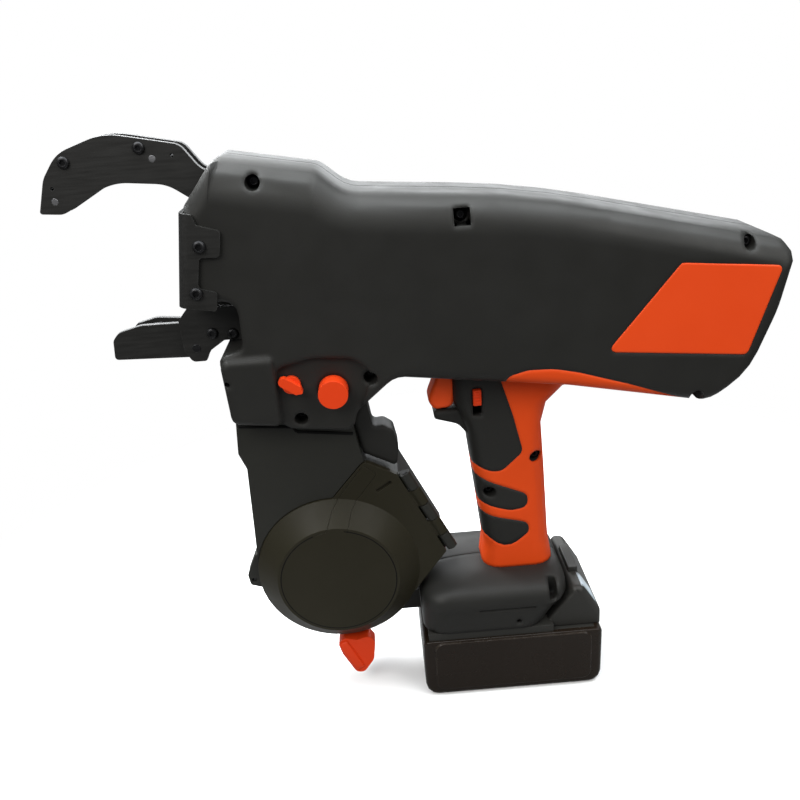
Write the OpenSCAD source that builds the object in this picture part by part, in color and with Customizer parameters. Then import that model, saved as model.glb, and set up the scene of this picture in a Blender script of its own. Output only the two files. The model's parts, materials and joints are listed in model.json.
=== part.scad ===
// Battery rebar tying tool, standing on its battery pack.
// The nose points to -X, the user's left side is -Y, and the origin is the centre of the base face.

/* [Body] */
// Length of the motor body from its face to its rear end
body_length = 312; // [306:1:320]
// Height of the motor body from the feeder's floor to the crown of the head
body_height = 145; // [142:1:150]
// Width of the motor body
body_width = 72; // [70:1:76]
// Distance of the body's face ahead of the battery's centre
body_front = 164; // [160:1:168]
// Height of the feeder's floor above the base face
body_rise = 186; // [184:1:190]
// Rounding of the body's upper edges
body_round = 12; // [10:0.5:13]
// Corner radius that the body's outline is drawn with
body_corner = 10; // [9:0.5:11]
// Wall of the moulded shells
wall = 3.2; // [2.8:0.1:3.6]
// How far the feeder's front block stands out of the side
feeder_proud = 3; // [2:0.5:4]

/* [Handle] */
// Width of the grip
handle_width = 34; // [32:1:38]
// Rounding of the grip's edges
handle_round = 12; // [10:0.5:13]
// Thickness of the soft grip skin
skin = 2; // [1.5:0.1:2.2]
// Travel of the trigger
trigger_travel = 6; // [3:0.5:6.5]
// Width of the trigger
trigger_width = 17; // [14:0.5:17.5]
// Travel of the trigger's lock slide
lock_travel = 5; // [3:0.5:5]

/* [Battery and foot] */
// Length of the battery pack
battery_length = 110; // [108:1:114]
// Width of the battery pack
battery_width = 75; // [73:1:78]
// Height of the battery's lower case
case_height = 41; // [40.5:0.5:43]
// Wall of the battery's lower case
case_wall = 2.2; // [1.8:0.1:2.4]
// Radius of one battery cell
cell_r = 9; // [8.5:0.1:9.1]
// Length of one battery cell
cell_length = 65; // [60:1:67]
// Height of the foot from its lower edge to the grip
foot_height = 32; // [31:0.5:34]

/* [Jaws] */
// How far the upper jaw reaches ahead of the body's face
jaw_reach = 70; // [66:1:76]
// Length of the upper jaw's plates
jaw_length = 106; // [103:1:110]
// Height of the upper jaw's plates
jaw_height = 39.5; // [38:0.5:42]
// Thickness of one jaw plate
jaw_plate = 3.5; // [3:0.1:4]
// Thickness of the guide between the upper jaw's plates
jaw_gap = 7; // [6:0.5:8]
// Length of the lower jaw
lower_length = 53; // [50:0.5:56]
// Height of the lower jaw
lower_height = 20.5; // [19:0.5:22]
// Width between the lower jaw's plates
lower_gap = 15.2; // [14:0.2:16]
// Thickness of one lower jaw plate
lower_plate = 3; // [2.5:0.1:3.2]
// Thickness of the face guard's sheet
sheet = 1.9; // [1.5:0.1:2.2]

/* [Magazine] */
// How far the reel case's rim nests into the foot's front
reel_nest = 0.2; // [0:0.1:0.5]
// Height of the reel's axis above the base face
reel_rise = 91.4; // [90:0.2:93]
// Room round the spool out to the reel case's rim
spool_room = 7.5; // [7:0.5:8]
// Wall of the reel case
drum_wall = 2.5; // [2:0.1:3]
// Radius of the lid's round disc
disc_r = 33.5; // [30:0.5:34]
// Radius of the spool's flanges
spool_r = 40.5; // [36:0.5:41]
// Bore radius of the spool's hub
hub_bore = 14.5; // [10:0.5:15]
// Thickness of a spool flange
flange = 2.5; // [2:0.1:3]
// Radius of the wire that is wound on the spool
winding_r = 32.5; // [24:0.5:36]

/* [Controls] */
// Radius of the round feed button
button_r = 7.8; // [6:0.2:8.4]
// Travel of the round feed button
button_travel = 4; // [2:0.5:5]
// How far the round button stands out of the body's side
button_proud = 6; // [5:0.5:8]

/* [Drive] */
// Radius of the twister drum
twist_r = 11; // [9:0.5:12]
// Radius of the gearbox
gearbox_r = 20; // [17:0.5:22]
// Length of the gearbox
gearbox_length = 45; // [40:1:50]
// Radius of the twisting motor
motor_r = 19; // [16:0.5:21]
// Length of the twisting motor
motor_length = 64; // [56:1:68]
// Tip radius of the feed gears
gear_r = 11; // [10:0.2:11.6]
// Width of the feed gears
gear_width = 9; // [6:0.5:10]
// Teeth on each feed gear
gear_teeth = 16; // [12:2:20]

/* [Hidden] */
$fn = 48;
// How far every cut runs past the face it opens
overrun = 1;
// Clearance of pieces that seat on each other
fit = 0.3;
// Running clearance of a shaft in its bore
run_fit = 0.06;
// Least radius that a rounded corner shrinks to
least_r = 0.5;
// Steps in each rounded corner of a moulding and of a steel plate, and bands in each rounded edge
arc_steps = 3;
plate_steps = 7;
edge_bands = 4;
// Sides of the round bosses inside the mouldings
room_sides = 20;
body_half = body_width / 2;
handle_half = handle_width / 2;

// Rounded outlines: a corner is [x, z, corner radius, rounding of the edge that starts at it],
// and the corners of an outline run counter-clockwise as seen from the user's left side.

function unit(v) = v / norm(v);
function turned(v) = [-v[1], v[0]];
function side_of(a, b) = a[0] * b[1] - a[1] * b[0];
function before(c, i) = (i + len(c) - 1) % len(c);
function edge_way(c, i) =
    let (p = c[i], q = c[(i + 1) % len(c)])
    unit([q[0] - p[0], q[1] - p[1]]);

// A table of shares turned into corners, drawn from a corner at (x, z)
function corners(shares, w, h, x, z, r, e) =
    [for (s = shares) [x + s[0] * w, z + s[1] * h, s[2] * r, s[3] * e]];

// A corner moved inward by d0 from the edge before it and by d1 from the edge after it
function moved_corner(p, u0, u1, d0, d1) =
    let (n0 = turned(u0), n1 = turned(u1), s = u0 * n1)
    [p[0], p[1]] + n0 * d0 + (abs(s) < 0.02 ? 0 : (d1 - d0 * (n0 * n1)) / s) * u0;

function moved_radius(r, u0, u1, d) = side_of(u0, u1) > 0 ? max(r - d, least_r) : r + d;

function corner_arc(p, u0, u1, r, steps) =
    let (
        a = atan2(side_of(u0, u1), u0 * u1),
        way = atan2(u0[1], u0[0]),
        centre = p - u0 * (r * tan(abs(a) / 2)) + turned(u0) * (sign(a) * r)
    )
    [for (j = [0 : steps])
        let (h = way + a * j / steps)
        centre + sign(a) * r * [sin(h), -cos(h)]];

// The points of an outline, drawn in by the share f of each edge's own rounding
function ring(c, f = 0, steps = arc_steps) = [
    for (i = [0 : len(c) - 1])
        let (
            u0 = edge_way(c, before(c, i)),
            u1 = edge_way(c, i),
            d0 = c[before(c, i)][3] * f,
            d1 = c[i][3] * f
        )
        each corner_arc(moved_corner(c[i], u0, u1, d0, d1), u0, u1,
                        moved_radius(c[i][2], u0, u1, (d0 + d1) / 2), steps)
];

// The edge rounding at each point of an outline
function ring_rounding(c) = [
    for (i = [0 : len(c) - 1], j = [0 : arc_steps])
        c[before(c, i)][3] + (c[i][3] - c[before(c, i)][3]) * j / arc_steps
];

// The same corners moved inward by one distance all round, with their roundings shrunk alike
function drawn_in(c, d) = [
    for (i = [0 : len(c) - 1])
        let (u0 = edge_way(c, before(c, i)), u1 = edge_way(c, i), p = moved_corner(c[i], u0, u1, d, d))
        [p[0], p[1], moved_radius(c[i][2], u0, u1, d), max(c[i][3] - d, least_r)]
];

// Triangles that fill a flat outline, by cutting off one ear after another
function covers_point(p, a, b, c) =
    side_of(b - a, p - a) > 0 && side_of(c - b, p - b) > 0 && side_of(a - c, p - c) > 0;
function is_ear(pts, live, k) =
    let (
        n = len(live),
        a = pts[live[(k + n - 1) % n]],
        b = pts[live[k]],
        c = pts[live[(k + 1) % n]]
    )
    side_of(b - a, c - b) > 0 && len([for (j = live) if (covers_point(pts[j], a, b, c)) j]) == 0;
function ear_from(pts, live, k) = k >= len(live) - 1 || is_ear(pts, live, k) ? k : ear_from(pts, live, k + 1);
function ears(pts, live, done = []) =
    len(live) == 3 ? concat(done, [live]) :
    let (n = len(live), k = ear_from(pts, live, 0))
    ears(pts, [for (j = [0 : n - 1]) if (j != k) live[j]],
         concat(done, [[live[(k + n - 1) % n], live[k], live[(k + 1) % n]]]));

// A closed skin over rows of points, each row counter-clockwise about the way the rows go
module row_skin(rows, ends) {
    n = len(rows[0]);
    last = (len(rows) - 1) * n;
    polyhedron(
        points = [for (r = rows) each r],
        faces = concat(
            ends[0],
            [for (t = ends[1]) [last + t[2], last + t[1], last + t[0]]],
            [for (k = [0 : len(rows) - 2], i = [0 : n - 1])
                let (a = k * n + i, b = k * n + (i + 1) % n)
                each [[a, a + n, b + n], [a, b + n, b]]]
        )
    );
}

function count_up(n) = [for (i = [0 : n - 1]) i];
function fan(n) = [for (i = [1 : n - 2]) [0, i, i + 1]];
function side_view(row) = [for (p = row) [p[0], p[2]]];
function pillow_row(c, half, a, way) =
    let (q = ring(c, 1 - cos(a)), e = ring_rounding(c))
    [for (i = [0 : len(q) - 1]) [q[i][0], way * (half - e[i] * (1 - sin(a))), q[i][1]]];

// The left half of a moulding with rounded edges, from the plane at y = start out to y = -half
module pillow_half(c, half, start = 0) {
    rows = concat(
        [[for (p = ring(c)) [p[0], start, p[1]]]],
        [for (k = [0 : edge_bands]) pillow_row(c, half, 90 * k / edge_bands, -1)]
    );
    live = count_up(len(rows[0]));
    row_skin(rows, [ears(side_view(rows[0]), live), ears(side_view(rows[edge_bands + 1]), live)]);
}

// Both halves of a moulding with rounded edges, in one piece
module pillow(c, half) {
    rows = concat(
        [for (k = [0 : edge_bands]) pillow_row(c, half, 90 - 90 * k / edge_bands, 1)],
        [for (k = [0 : edge_bands]) pillow_row(c, half, 90 * k / edge_bands, -1)]
    );
    cap = ears(side_view(rows[0]), count_up(len(rows[0])));
    row_skin(rows, [cap, cap]);
}

// A coil of round wire about the Z axis, from z = 0 to z = length
module coil(r, wire, length, turns) {
    rings = turns * 8;
    sides = 6;
    row_skin(
        [for (k = [0 : rings])
            let (a = 360 * turns * k / rings, z = wire + (length - 2 * wire) * k / rings)
            [for (s = [0 : sides - 1])
                let (b = -360 * s / sides, q = r + wire * cos(b))
                [q * cos(a), q * sin(a), z + wire * sin(b)]]],
        [fan(sides), fan(sides)]
    );
}

// Rounded mouldings that are joined and hollowed as one mesh, at the size they are drawn
module moulded() {
    resize([0, 0, 0])
        children();
}

// A side view drawn in 2D and given its width between two values of y
module side(y_low, y_high) {
    translate([0, y_high, 0])
        rotate([90, 0, 0])
            linear_extrude(y_high - y_low)
                children();
}

// A round bar across the tool at a point of the side view
module bar(p, r, y_low, y_high) {
    translate([p[0], y_high, p[1]])
        rotate([90, 0, 0])
            cylinder(r = r, h = y_high - y_low);
}

// A block given by its lowest and highest x, y and z
module block(x, y, z) {
    translate([x[0], y[0], z[0]])
        cube([x[1] - x[0], y[1] - y[0], z[1] - z[0]]);
}

module plate(c, y_low, y_high) {
    side(y_low, y_high) polygon(ring(c));
}

module steel_plate(c, y_low, y_high) {
    side(y_low, y_high) polygon(ring(c, 0, plate_steps));
}

// Body outline, as shares of its length, height, corner radius and rounding
face_low_share = [0.000, 0.517];
face_top_share = [0.026, 0.862];
body_shares = [
    [0.042, 0.324, 0.5, 0.33], [0.048, 0.066, 0.5, 0.33], [0.136, 0.043, 0.25, 0.33],
    [0.147, 0.027, 0.25, 0.33], [0.253, 0.000, 0.5, 0.33],
    [0.263, 0.076, 1.0, 0.33], [0.330, 0.197, 1.2, 0.50], [0.628, 0.110, 6.0, 0.50],
    [0.872, 0.003, 1.6, 0.45], [0.939, 0.103, 4.0, 0.45], [0.979, 0.345, 8.0, 0.45],
    [1.000, 0.586, 1.0, 1.40], [0.571, 0.803, 50.0, 1.50], [0.276, 0.855, 2.0, 1.50],
    [0.231, 0.938, 1.2, 1.70], [0.077, 1.000, 0.5, 0.80],
    [face_top_share[0], face_top_share[1], 0.4, 0.42], [face_low_share[0], face_low_share[1], 0.3, 0.33],
    [0.087, 0.533, 0.7, 0.12], [0.086, 0.352, 0.4, 0.12]
];
function at_body(s) = [-body_front + s[0] * body_length, body_rise + s[1] * body_height];
body = corners(body_shares, body_length, body_height, -body_front, body_rise, body_corner, body_round);

// The front block of the feeder, which stands out of the side
feeder_shares = [
    [0.0435, 0.322, 0.5, 0.33], [0.0495, 0.070, 0.5, 0.33], [0.133, 0.048, 0.3, 0.25], [0.133, 0.322, 0.3, 0.25]
];
feeder = corners(feeder_shares, body_length, body_height, -body_front, body_rise, body_corner, body_round);

// The shallow recess round the feed controls
recess_shares = [
    [0.1345, -0.10, 0.1, 0], [0.255, -0.10, 0.1, 0], [0.272, 0.10, 1, 0],
    [0.297, 0.235, 0.8, 0], [0.262, 0.292, 1, 0], [0.195, 0.305, 1, 0], [0.1345, 0.275, 0.5, 0]
];
recess = corners(recess_shares, body_length, body_height, -body_front, body_rise, body_corner, body_round);
recess_deep = 3;
recess_floor = -body_half + recess_deep;

// The tilted frame of the twisting drive: x runs back from the body's face, z is square to it
face_low = at_body(face_low_share);
face_top = at_body(face_top_share);
nose_up = atan2(face_top[0] - face_low[0], face_top[1] - face_low[1]);
axis_share = 0.44;
axis_at = face_low + (face_top - face_low) * axis_share;
module nose_frame() {
    translate([axis_at[0], 0, axis_at[1]])
        rotate([0, nose_up, 0])
            children();
}
module shaft_along(r, x_low, x_high) {
    translate([x_low, 0, 0])
        rotate([0, 90, 0])
            cylinder(r = r, h = x_high - x_low);
}

// Handle outline, as shares of a frame from the foot up into the body
deck = 5;
foot_front = 54;
foot_low = case_height + deck + fit;
handle_sunk = 23.7;
handle_buried = 30;
handle_rise = foot_low + handle_sunk;
handle_length = body_rise + handle_buried - handle_rise;
handle_depth = 76;
handle_front = 29;
handle_shares = [
    [0.184, 0.027, 0.3, 0.10], [0.776, 0.027, 0.3, 1.00], [0.737, 0.158, 2.0, 1.00],
    [0.704, 0.479, 6.0, 1.00], [0.655, 0.868, 2.4, 0.60], [1.050, 0.868, 0.1, 0.05],
    [1.050, 1.000, 0.1, 0.05], [0.000, 1.000, 0.1, 0.90], [0.000, 0.808, 1.4, 0.90],
    [0.099, 0.685, 1.4, 0.90], [0.161, 0.397, 6.0, 0.90], [0.213, 0.151, 2.0, 0.90]
];
function at_handle(s) = [-handle_front + s[0] * handle_depth, handle_rise + s[1] * handle_length];
handle = corners(handle_shares, handle_depth, handle_length, -handle_front, handle_rise, body_corner, handle_round);
handle_core_inset = 5.5;
handle_room_half = 8.3;

// The lip under the trigger
lip_half = 8.6;
lip_round = 2;
lip_shares = [
    [-0.136, 0.733, 1.0, 1], [0.040, 0.704, 4.0, 1], [0.118, 0.650, 1.0, 1],
    [0.200, 0.690, 1.0, 1], [0.200, 0.769, 1.0, 1], [-0.145, 0.769, 1.0, 1]
];
lip = corners(lip_shares, handle_depth, handle_length, -handle_front, handle_rise, lip_round, lip_round);

// Outline of the soft skin, and the hard islands that it leaves open
grip_corner = 5;
grip_shares = [
    [0.066, 0.050, 0, 0], [0.900, 0.050, 0, 0], [0.900, 0.800, 0, 0], [1.720, 0.700, 0, 0],
    [1.620, 0.822, 0.5, 0], [1.224, 0.901, 20, 0], [0.862, 0.962, 8, 0], [0.682, 0.984, 8, 0],
    [0.505, 0.986, 3, 0], [0.352, 0.966, 1, 0], [0.350, 0.905, 1, 0], [0.441, 0.750, 8, 0],
    [0.513, 0.593, 1, 0], [0.347, 0.512, 1.5, 0], [0.260, 0.516, 3, 0], [0.066, 0.556, 1, 0]
];
upper_pad_shares = [
    [-0.10, 0.513, 0, 0], [0.137, 0.495, 2, 0], [0.545, 0.400, 1, 0], [0.549, 0.339, 1, 0],
    [0.414, 0.329, 2, 0], [0.175, 0.368, 2, 0], [-0.10, 0.386, 0, 0]
];
lower_pad_shares = [
    [-0.10, 0.326, 0, 0], [0.192, 0.318, 2, 0], [0.553, 0.267, 1, 0], [0.558, 0.221, 1, 0],
    [0.391, 0.149, 2, 0], [0.224, 0.203, 2, 0], [-0.10, 0.236, 0, 0]
];
function on_handle(shares) =
    corners(shares, handle_depth, handle_length, -handle_front, handle_rise, grip_corner, 0);
function backwards(c) = [for (i = [len(c) - 1 : -1 : 0]) c[i]];

// The drive's places behind the face, along the twisting axis
hook_start = 4;
hook_length = 34;
hook_arm = 5;
hook_reach = 10.5;
hub_length = 8;
shaft_start = hook_start + hook_length;
shaft_length = 62;
bearing_start = 48;
bearing_length = 10;
bearing_r = 17;
gearbox_start = shaft_start + shaft_length + fit;
motor_start = gearbox_start + gearbox_length + fit;
board_start = motor_start + motor_length + 10 * fit;
board_length = 56;
board_low = 22;
board_high = 20;
board_y = 9;
board_t = 1.6;
rib = 4;

// Screws that hold the shells together, in shares of the body and of the handle
screw_r = 1.6;
screw_head_r = 3;
screw_head = 3;
pocket_r = 3.7;
pocket_seat = 22;
screw_tip = 14;
boss_r = 5;
body_screw_shares = [
    [0.135, 0.917], [0.454, 0.757], [0.922, 0.590], [0.850, 0.034], [0.290, 0.207], [0.166, 0.062]
];
handle_screw_shares = [[0.611, 0.560], [0.254, 0.418]];
handle_pocket_seat = 8;
handle_screw_tip = 7;

// Feed gears on both sides of the wire's nip
nip_share = [0.1346, 0.1900];
nip = at_body(nip_share);
gear_root = gear_r * 0.83;
gear_apart = (gear_r + gear_root) / 2 + fit / 3;
drive_at = nip + [gear_apart, 0];
idler_at = nip - [gear_apart, 0];
axle_r = 3;
axle_half = 12;
axle_boss_r = 6;
axle_boss_gap = 2.5;
feed_motor_r = 12;
feed_motor_start = 8.3;
guide_r = 2.6;
guide_bore = 1.3;
guide_foot = 2.6;
guide_top = 7.5;
upper_guide_start = 12;
upper_guide_length = 30;
cutter_long = 11;
cutter_front_share = 0.3;
cutter_wide = 14;
cutter_high = 8;
guide_rib = 4;
guide_rib_start = 22;

// The controls beside the feeder
lever_at = at_body([0.157, 0.205]);
lever_hub_r = 4.8;
lever_shaft_r = 3;
lever_thick = 5;
lever_blade = 7.2;
lever_blade_r = 2.6;
lever_turn = 35;
button_at = at_body([0.226, 0.172]);
button_flange = 2;
button_flange_r = button_r + 1.6;
button_back = recess_floor + 3.5;
button_spring_length = 12;
spring_wire = 0.6;
post_r = 6;

// The jaws
jaw_x = -body_front - jaw_reach;
jaw_z = at_body([0, 0.82])[1];
jaw_half = jaw_gap / 2 + jaw_plate;
jaw_corner = 4;
jaw_shares = [
    [0.000, 0.076, 0.3, 0], [0.113, 0.050, 2, 0], [0.292, 0.311, 6, 0], [0.387, 0.400, 7, 0],
    [0.623, 0.334, 5, 0], [0.717, 0.152, 0.7, 0], [1.000, 0.000, 0.2, 0], [1.000, 0.405, 0.2, 0],
    [0.802, 0.461, 3, 0], [0.712, 0.810, 2, 0], [0.368, 1.005, 8, 0], [0.138, 0.803, 5, 0],
    [0.053, 0.506, 4, 0]
];
jaw = corners(jaw_shares, jaw_length, jaw_height, jaw_x, jaw_z, jaw_corner, 0);
function at_jaw(s) = [jaw_x + s[0] * jaw_length, jaw_z + s[1] * jaw_height];
jaw_screw_shares = [[0.164, 0.689], [0.523, 0.800]];
jaw_pin_shares = [[0.576, 0.661], [0.085, 0.220]];
jaw_hole_shares = [[0.085, 0.382], [0.669, 0.686]];
jaw_screw_r = 1.6;
jaw_head_r = 3.1;
jaw_head = 1.6;
jaw_pin_r = 1.7;
jaw_hole_r = 0.9;
guide_inset = 1.2;
jaw_seat_half = 13;
jaw_seat_shares = [[0.040, 0.122], [0.786, 1.000]];

// The lower jaw, its bracket and its pivot
bracket_x = -body_front - 8.5;
bracket_z = at_body([0, 0.2725])[1];
bracket_length = 44;
bracket_height = 30.5;
bracket_shares = [
    [0.011, 0.213, 1, 0], [0.090, 0.000, 0.8, 0], [0.261, 0.000, 0.4, 0], [0.318, 0.180, 0.5, 0],
    [0.511, 0.360, 0.5, 0], [1.000, 0.360, 0.2, 0], [1.000, 0.934, 0.2, 0], [0.136, 1.000, 0.5, 0],
    [0.000, 0.770, 0.5, 0]
];
bracket = corners(bracket_shares, bracket_length, bracket_height, bracket_x, bracket_z, jaw_corner, 0);
function at_bracket(s) = [bracket_x + s[0] * bracket_length, bracket_z + s[1] * bracket_height];
lower_half = lower_gap / 2 + lower_plate;
cheek_in = lower_half + 1;
cheek_out = cheek_in + lower_plate;
pivot_at = at_bracket([0.159, 0.246]);
pivot_r = 2.2;
bracket_screw_shares = [[0.382, 0.500], [0.627, 0.470]];
web_shares = [[0.390, 0.670], [0.371, 0.590]];
lower_tail = 7.5;
lower_x = pivot_at[0] + lower_tail - lower_length;
lower_z = bracket_z + 1.5;
lower_shares = [
    [0.000, 0.073, 0.5, 0], [0.740, 0.000, 5, 0], [0.960, 0.000, 1, 0], [1.000, 0.260, 0.6, 0],
    [0.980, 0.780, 1, 0], [0.700, 0.960, 3, 0], [0.323, 0.965, 3, 0], [0.085, 0.810, 2, 0],
    [0.020, 0.600, 1, 0]
];
lower_jaw = corners(lower_shares, lower_length, lower_height, lower_x, lower_z, jaw_corner, 0);
lower_far_shares = [
    [0.110, 0.140, 0.5, 0], [0.740, 0.000, 5, 0], [0.960, 0.000, 1, 0], [1.000, 0.260, 0.6, 0],
    [0.980, 0.780, 1, 0], [0.700, 0.830, 2, 0], [0.400, 0.905, 3, 0], [0.185, 0.770, 1, 0],
    [0.130, 0.560, 0.8, 0]
];
lower_jaw_far = corners(lower_far_shares, lower_length, lower_height, lower_x, lower_z, jaw_corner, 0);
lower_guide_shares = [
    [0.150, 0.220, 0.3, 0], [0.740, 0.130, 0.3, 0], [0.740, 0.700, 0.5, 0], [0.400, 0.800, 3, 0], [0.200, 0.620, 1, 0]
];
lower_guide = corners(lower_guide_shares, lower_length, lower_height, lower_x, lower_z, jaw_corner, 0);

// The face guard, in shares of its height and of its wings' length
guard_height = 46.5;
guard_low = 21.3;
wing = 18.4;
guard_corner = 3.4;
guard_shares = [
    [-0.20, 0.00, 0, 0], [0.945, 0.00, 0.25, 0], [0.945, 0.205, 0.25, 0], [0.44, 0.235, 0.4, 0],
    [0.46, 0.560, 0.4, 0], [1.00, 0.585, 0.4, 0], [1.00, 0.860, 0.3, 0], [0.38, 0.900, 0.1, 0],
    [0.25, 1.00, 0.1, 0], [-0.20, 1.00, 0, 0]
];
guard_screw_shares = [[0.47, 0.680], [0.40, 0.178]];
guard_screw_r = 1.9;
guard_head_r = 3.3;
guard_head = 2.1;
guard_screw_long = 9;
window_half = 13;

// The magazine, in shares of the reel case's radius about the reel's axis,
// with all that is above the round part stretched to reach the body
case_r = spool_r + spool_room;
reel_reach = foot_front + case_r - reel_nest;
reel = [-reel_reach, reel_rise];
round_share = 0.6;
neck_share = 1.9708;
neck_stretch = ((body_rise - reel_rise) / case_r - round_share) / (neck_share - round_share);
function stretched(s) = s <= round_share ? s : round_share + (s - round_share) * neck_stretch;
drum_left = -20;
drum_right = 19;
neck_left = -23;
lid_left = -24;
cone_left = -36;
cone_top_r = disc_r + 2;
lid_gap = 0.4;
neck_shares = [
    [-0.996, 0.00, 0, 0], [0.00, -0.65, 0, 0], [0.83, -0.53, 0, 0], [1.34, 0.138, 0.2, 0],
    [0.819, 1.221, 0.5, 0], [0.423, 1.430, 1, 0], [0.329, 1.962, 0.5, 0], [-0.988, 2.112, 0.5, 0],
    [-1.020, 1.685, 1, 0], [-0.945, 1.483, 1, 0]
];
lid_shares = [
    [0.00, 0.00, 0, 0], [0.83, -0.53, 0, 0], [1.34, 0.138, 0.2, 0], [0.800, 1.263, 0.5, 0],
    [0.423, 1.470, 1, 0], [-0.035, 0.950, 1, 0], [-0.088, 0.762, 0, 0]
];
tongue_shares = [
    [-0.129, 0.608, 0.2, 0], [0.127, 0.598, 0.2, 0], [0.223, 0.873, 2, 0], [0.560, 1.290, 0.5, 0],
    [0.410, 1.420, 0.5, 0], [-0.004, 0.894, 2, 0]
];
clip_shares = [
    [0.342, 1.940, 0.2, 0], [0.423, 1.519, 0.5, 0], [0.812, 1.315, 0.5, 0], [0.845, 1.560, 1, 0],
    [0.800, 1.775, 1, 0], [0.690, 1.855, 1, 0], [0.560, 1.840, 0.7, 0], [0.505, 2.215, 0.35, 0],
    [0.446, 2.190, 0.25, 0]
];
clip_right = -4;
nose_lug_shares = [
    [-0.920, -0.240, 0, 0], [-0.920, 0.300, 0, 0], [-1.030, 0.245, 0.6, 0], [-1.154, -0.033, 0.5, 0],
    [-1.135, -0.181, 0.5, 0], [-1.020, -0.223, 0.3, 0]
];
nose_lug_hole_share = [-1.085, -0.115];
nose_lug_right = -10;
latch_slot_shares = [[0.531, 1.074, 0, 0], [0.553, 1.038, 0, 0], [0.736, 1.153, 0, 0], [0.714, 1.189, 0, 0]];
magazine_corner = 4;
function on_reel(shares) =
    corners([for (s = shares) [s[0], stretched(s[1]), s[2], s[3]]], case_r, case_r, reel[0], reel[1],
            magazine_corner, 0);
function at_reel(s) = reel + [s[0], stretched(s[1])] * case_r;
tongue_skin = 1.6;
disc_t = 2.2;
hinge_top_share = [0.885, 1.258];
hinge_low_share = [1.420, 0.180];
hinge_top = at_reel(hinge_top_share);
hinge_low = at_reel(hinge_low_share);
hinge_long = norm(hinge_low - hinge_top);
hinge_lean = atan2(hinge_low[0] - hinge_top[0], hinge_top[1] - hinge_low[1]);
hinge_y = -22;
hinge_pin_r = 1.5;
knuckle_r = 3.2;
knuckles = 5;
knuckle_web = 8;
spool_left = drum_left + 2 * fit;
spool_right = drum_right - drum_wall - 0.5;
hub_r = hub_bore + 2.5;
slot_rings_share = [[0.55, 0.64], [0.77, 0.88]];
slots = 8;
lock_at = at_reel([0.110, -1.269]);
lock_left = -22;
lock_right = -13;
lock_shares = [
    [-0.240, 0.073, 0.8, 0], [-0.195, -0.094, 3, 0], [-0.040, -0.400, 1, 0], [0.065, -0.420, 1, 0],
    [0.205, -0.220, 2, 0], [0.244, 0.052, 0.8, 0], [0.175, 0.165, 0.8, 0], [0.010, 0.115, 0.8, 0],
    [-0.165, 0.165, 0.8, 0]
];
lock_pin_r = 2;
lug_shares = [[-0.13, 0.14], [-0.13, 0.45]];
lug_right = -4;
foot_lug_half = 10;
foot_lug_shares = [[0.74, 0.985], [-0.90, -0.62]];

// The battery's cover, hump and tower, and the foot that rides on them
battery_half = battery_width / 2;
panel_proud = 1;
battery_corner = 8;
battery_round = 3;
panel_low = 5;
panel_inset = 7;
panel_corner = 5;
deck_half = battery_half - 2.5;
seam_gap = 0.6;
hump_round = 4;
hump_front_share = 0.20;
hump_shares = [
    [0.00, 0.000, 0.1, 0.2], [1.000, 0.000, 0.1, 0.6], [1.000, 0.330, 1, 1], [0.700, 0.950, 1, 1],
    [0.500, 1.000, 1, 1], [0.435, 0.750, 1, 0.5], [0.065, 0.147, 0.2, 0.5]
];
hump_height = 28;
hump_half = battery_half - 7;
hump_x = battery_length * hump_front_share - 2.2;
hump = corners(hump_shares, battery_length / 2 - hump_x, hump_height, hump_x, case_height, hump_round, hump_round);
tower_front = -35;
tower_neck = 6.3;
tower_high = 14;
tower_neck_half = 20;
tower_half = 24;
tower_rear = hump_x + 10;
blade = 0.8;
blade_apart = 12;
blade_long = 12;
blade_slot = 1.8;
terminal_front = -50;
terminal_half = 18;
terminal_high = 15;
release_half = 13;
release_travel = 3;
release_low_share = 0.86;
release_shares = [0.535, 0.700];
release_proud = 2.2;

// Foot plans: front, rear and half width as shares, and the height share of each level
foot_rear = 34.5;
foot_half = 37;
foot_corner = 14;
foot_levels_shares = [
    [1.00, 0.59, 0.970, 0.000], [1.00, 0.90, 0.970, 0.480], [1.00, 0.96, 1.000, 0.530],
    [0.995, 1.00, 0.995, 0.660], [0.97, 0.995, 0.965, 0.770], [0.90, 0.98, 0.890, 0.860],
    [0.72, 0.95, 0.720, 0.930], [0.52, 0.92, 0.560, 0.980], [0.36, 0.88, 0.440, 1.000]
];
strap_slot_x = 24.5;
strap_slot_r = 2.6;
strap_slot_deep = 26;
strap_slot_shares = [0.64, 0.86];
vent_x = [-20, 14];
vent_shares = [0.435, 0.475];
foot_hole = [3.7, 51.5];
feeder_hole_share = [0.0525, 0.232];
square_half = 4.2;
function foot_row(s) =
    let (
        x0 = -foot_front * s[0],
        x1 = foot_rear * s[1],
        w = foot_half * s[2],
        z = foot_low + foot_height * s[3],
        r = foot_corner * (0.4 + 0.6 * s[2]),
        steps = 4
    )
    concat(
        [[x0, 0, z]],
        [for (j = [0 : steps]) let (a = 180 + 90 * j / steps) [x0 + r + r * cos(a), -w + r + r * sin(a), z]],
        [for (j = [0 : steps]) let (a = 270 + 90 * j / steps) [x1 - r + r * cos(a), -w + r + r * sin(a), z]],
        [[x1, 0, z]]
    );

// Orange panel on the left side, in shares of the body
panel_shares = [
    [0.688, 0.238, 0.25, 0], [0.929, 0.187, 0.3, 0], [0.974, 0.512, 0.25, 0], [0.805, 0.549, 0.3, 0]
];
panel_deep = 0.8;
panel = corners(panel_shares, body_length, body_height, -body_front, body_rise, body_corner, 0);

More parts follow.
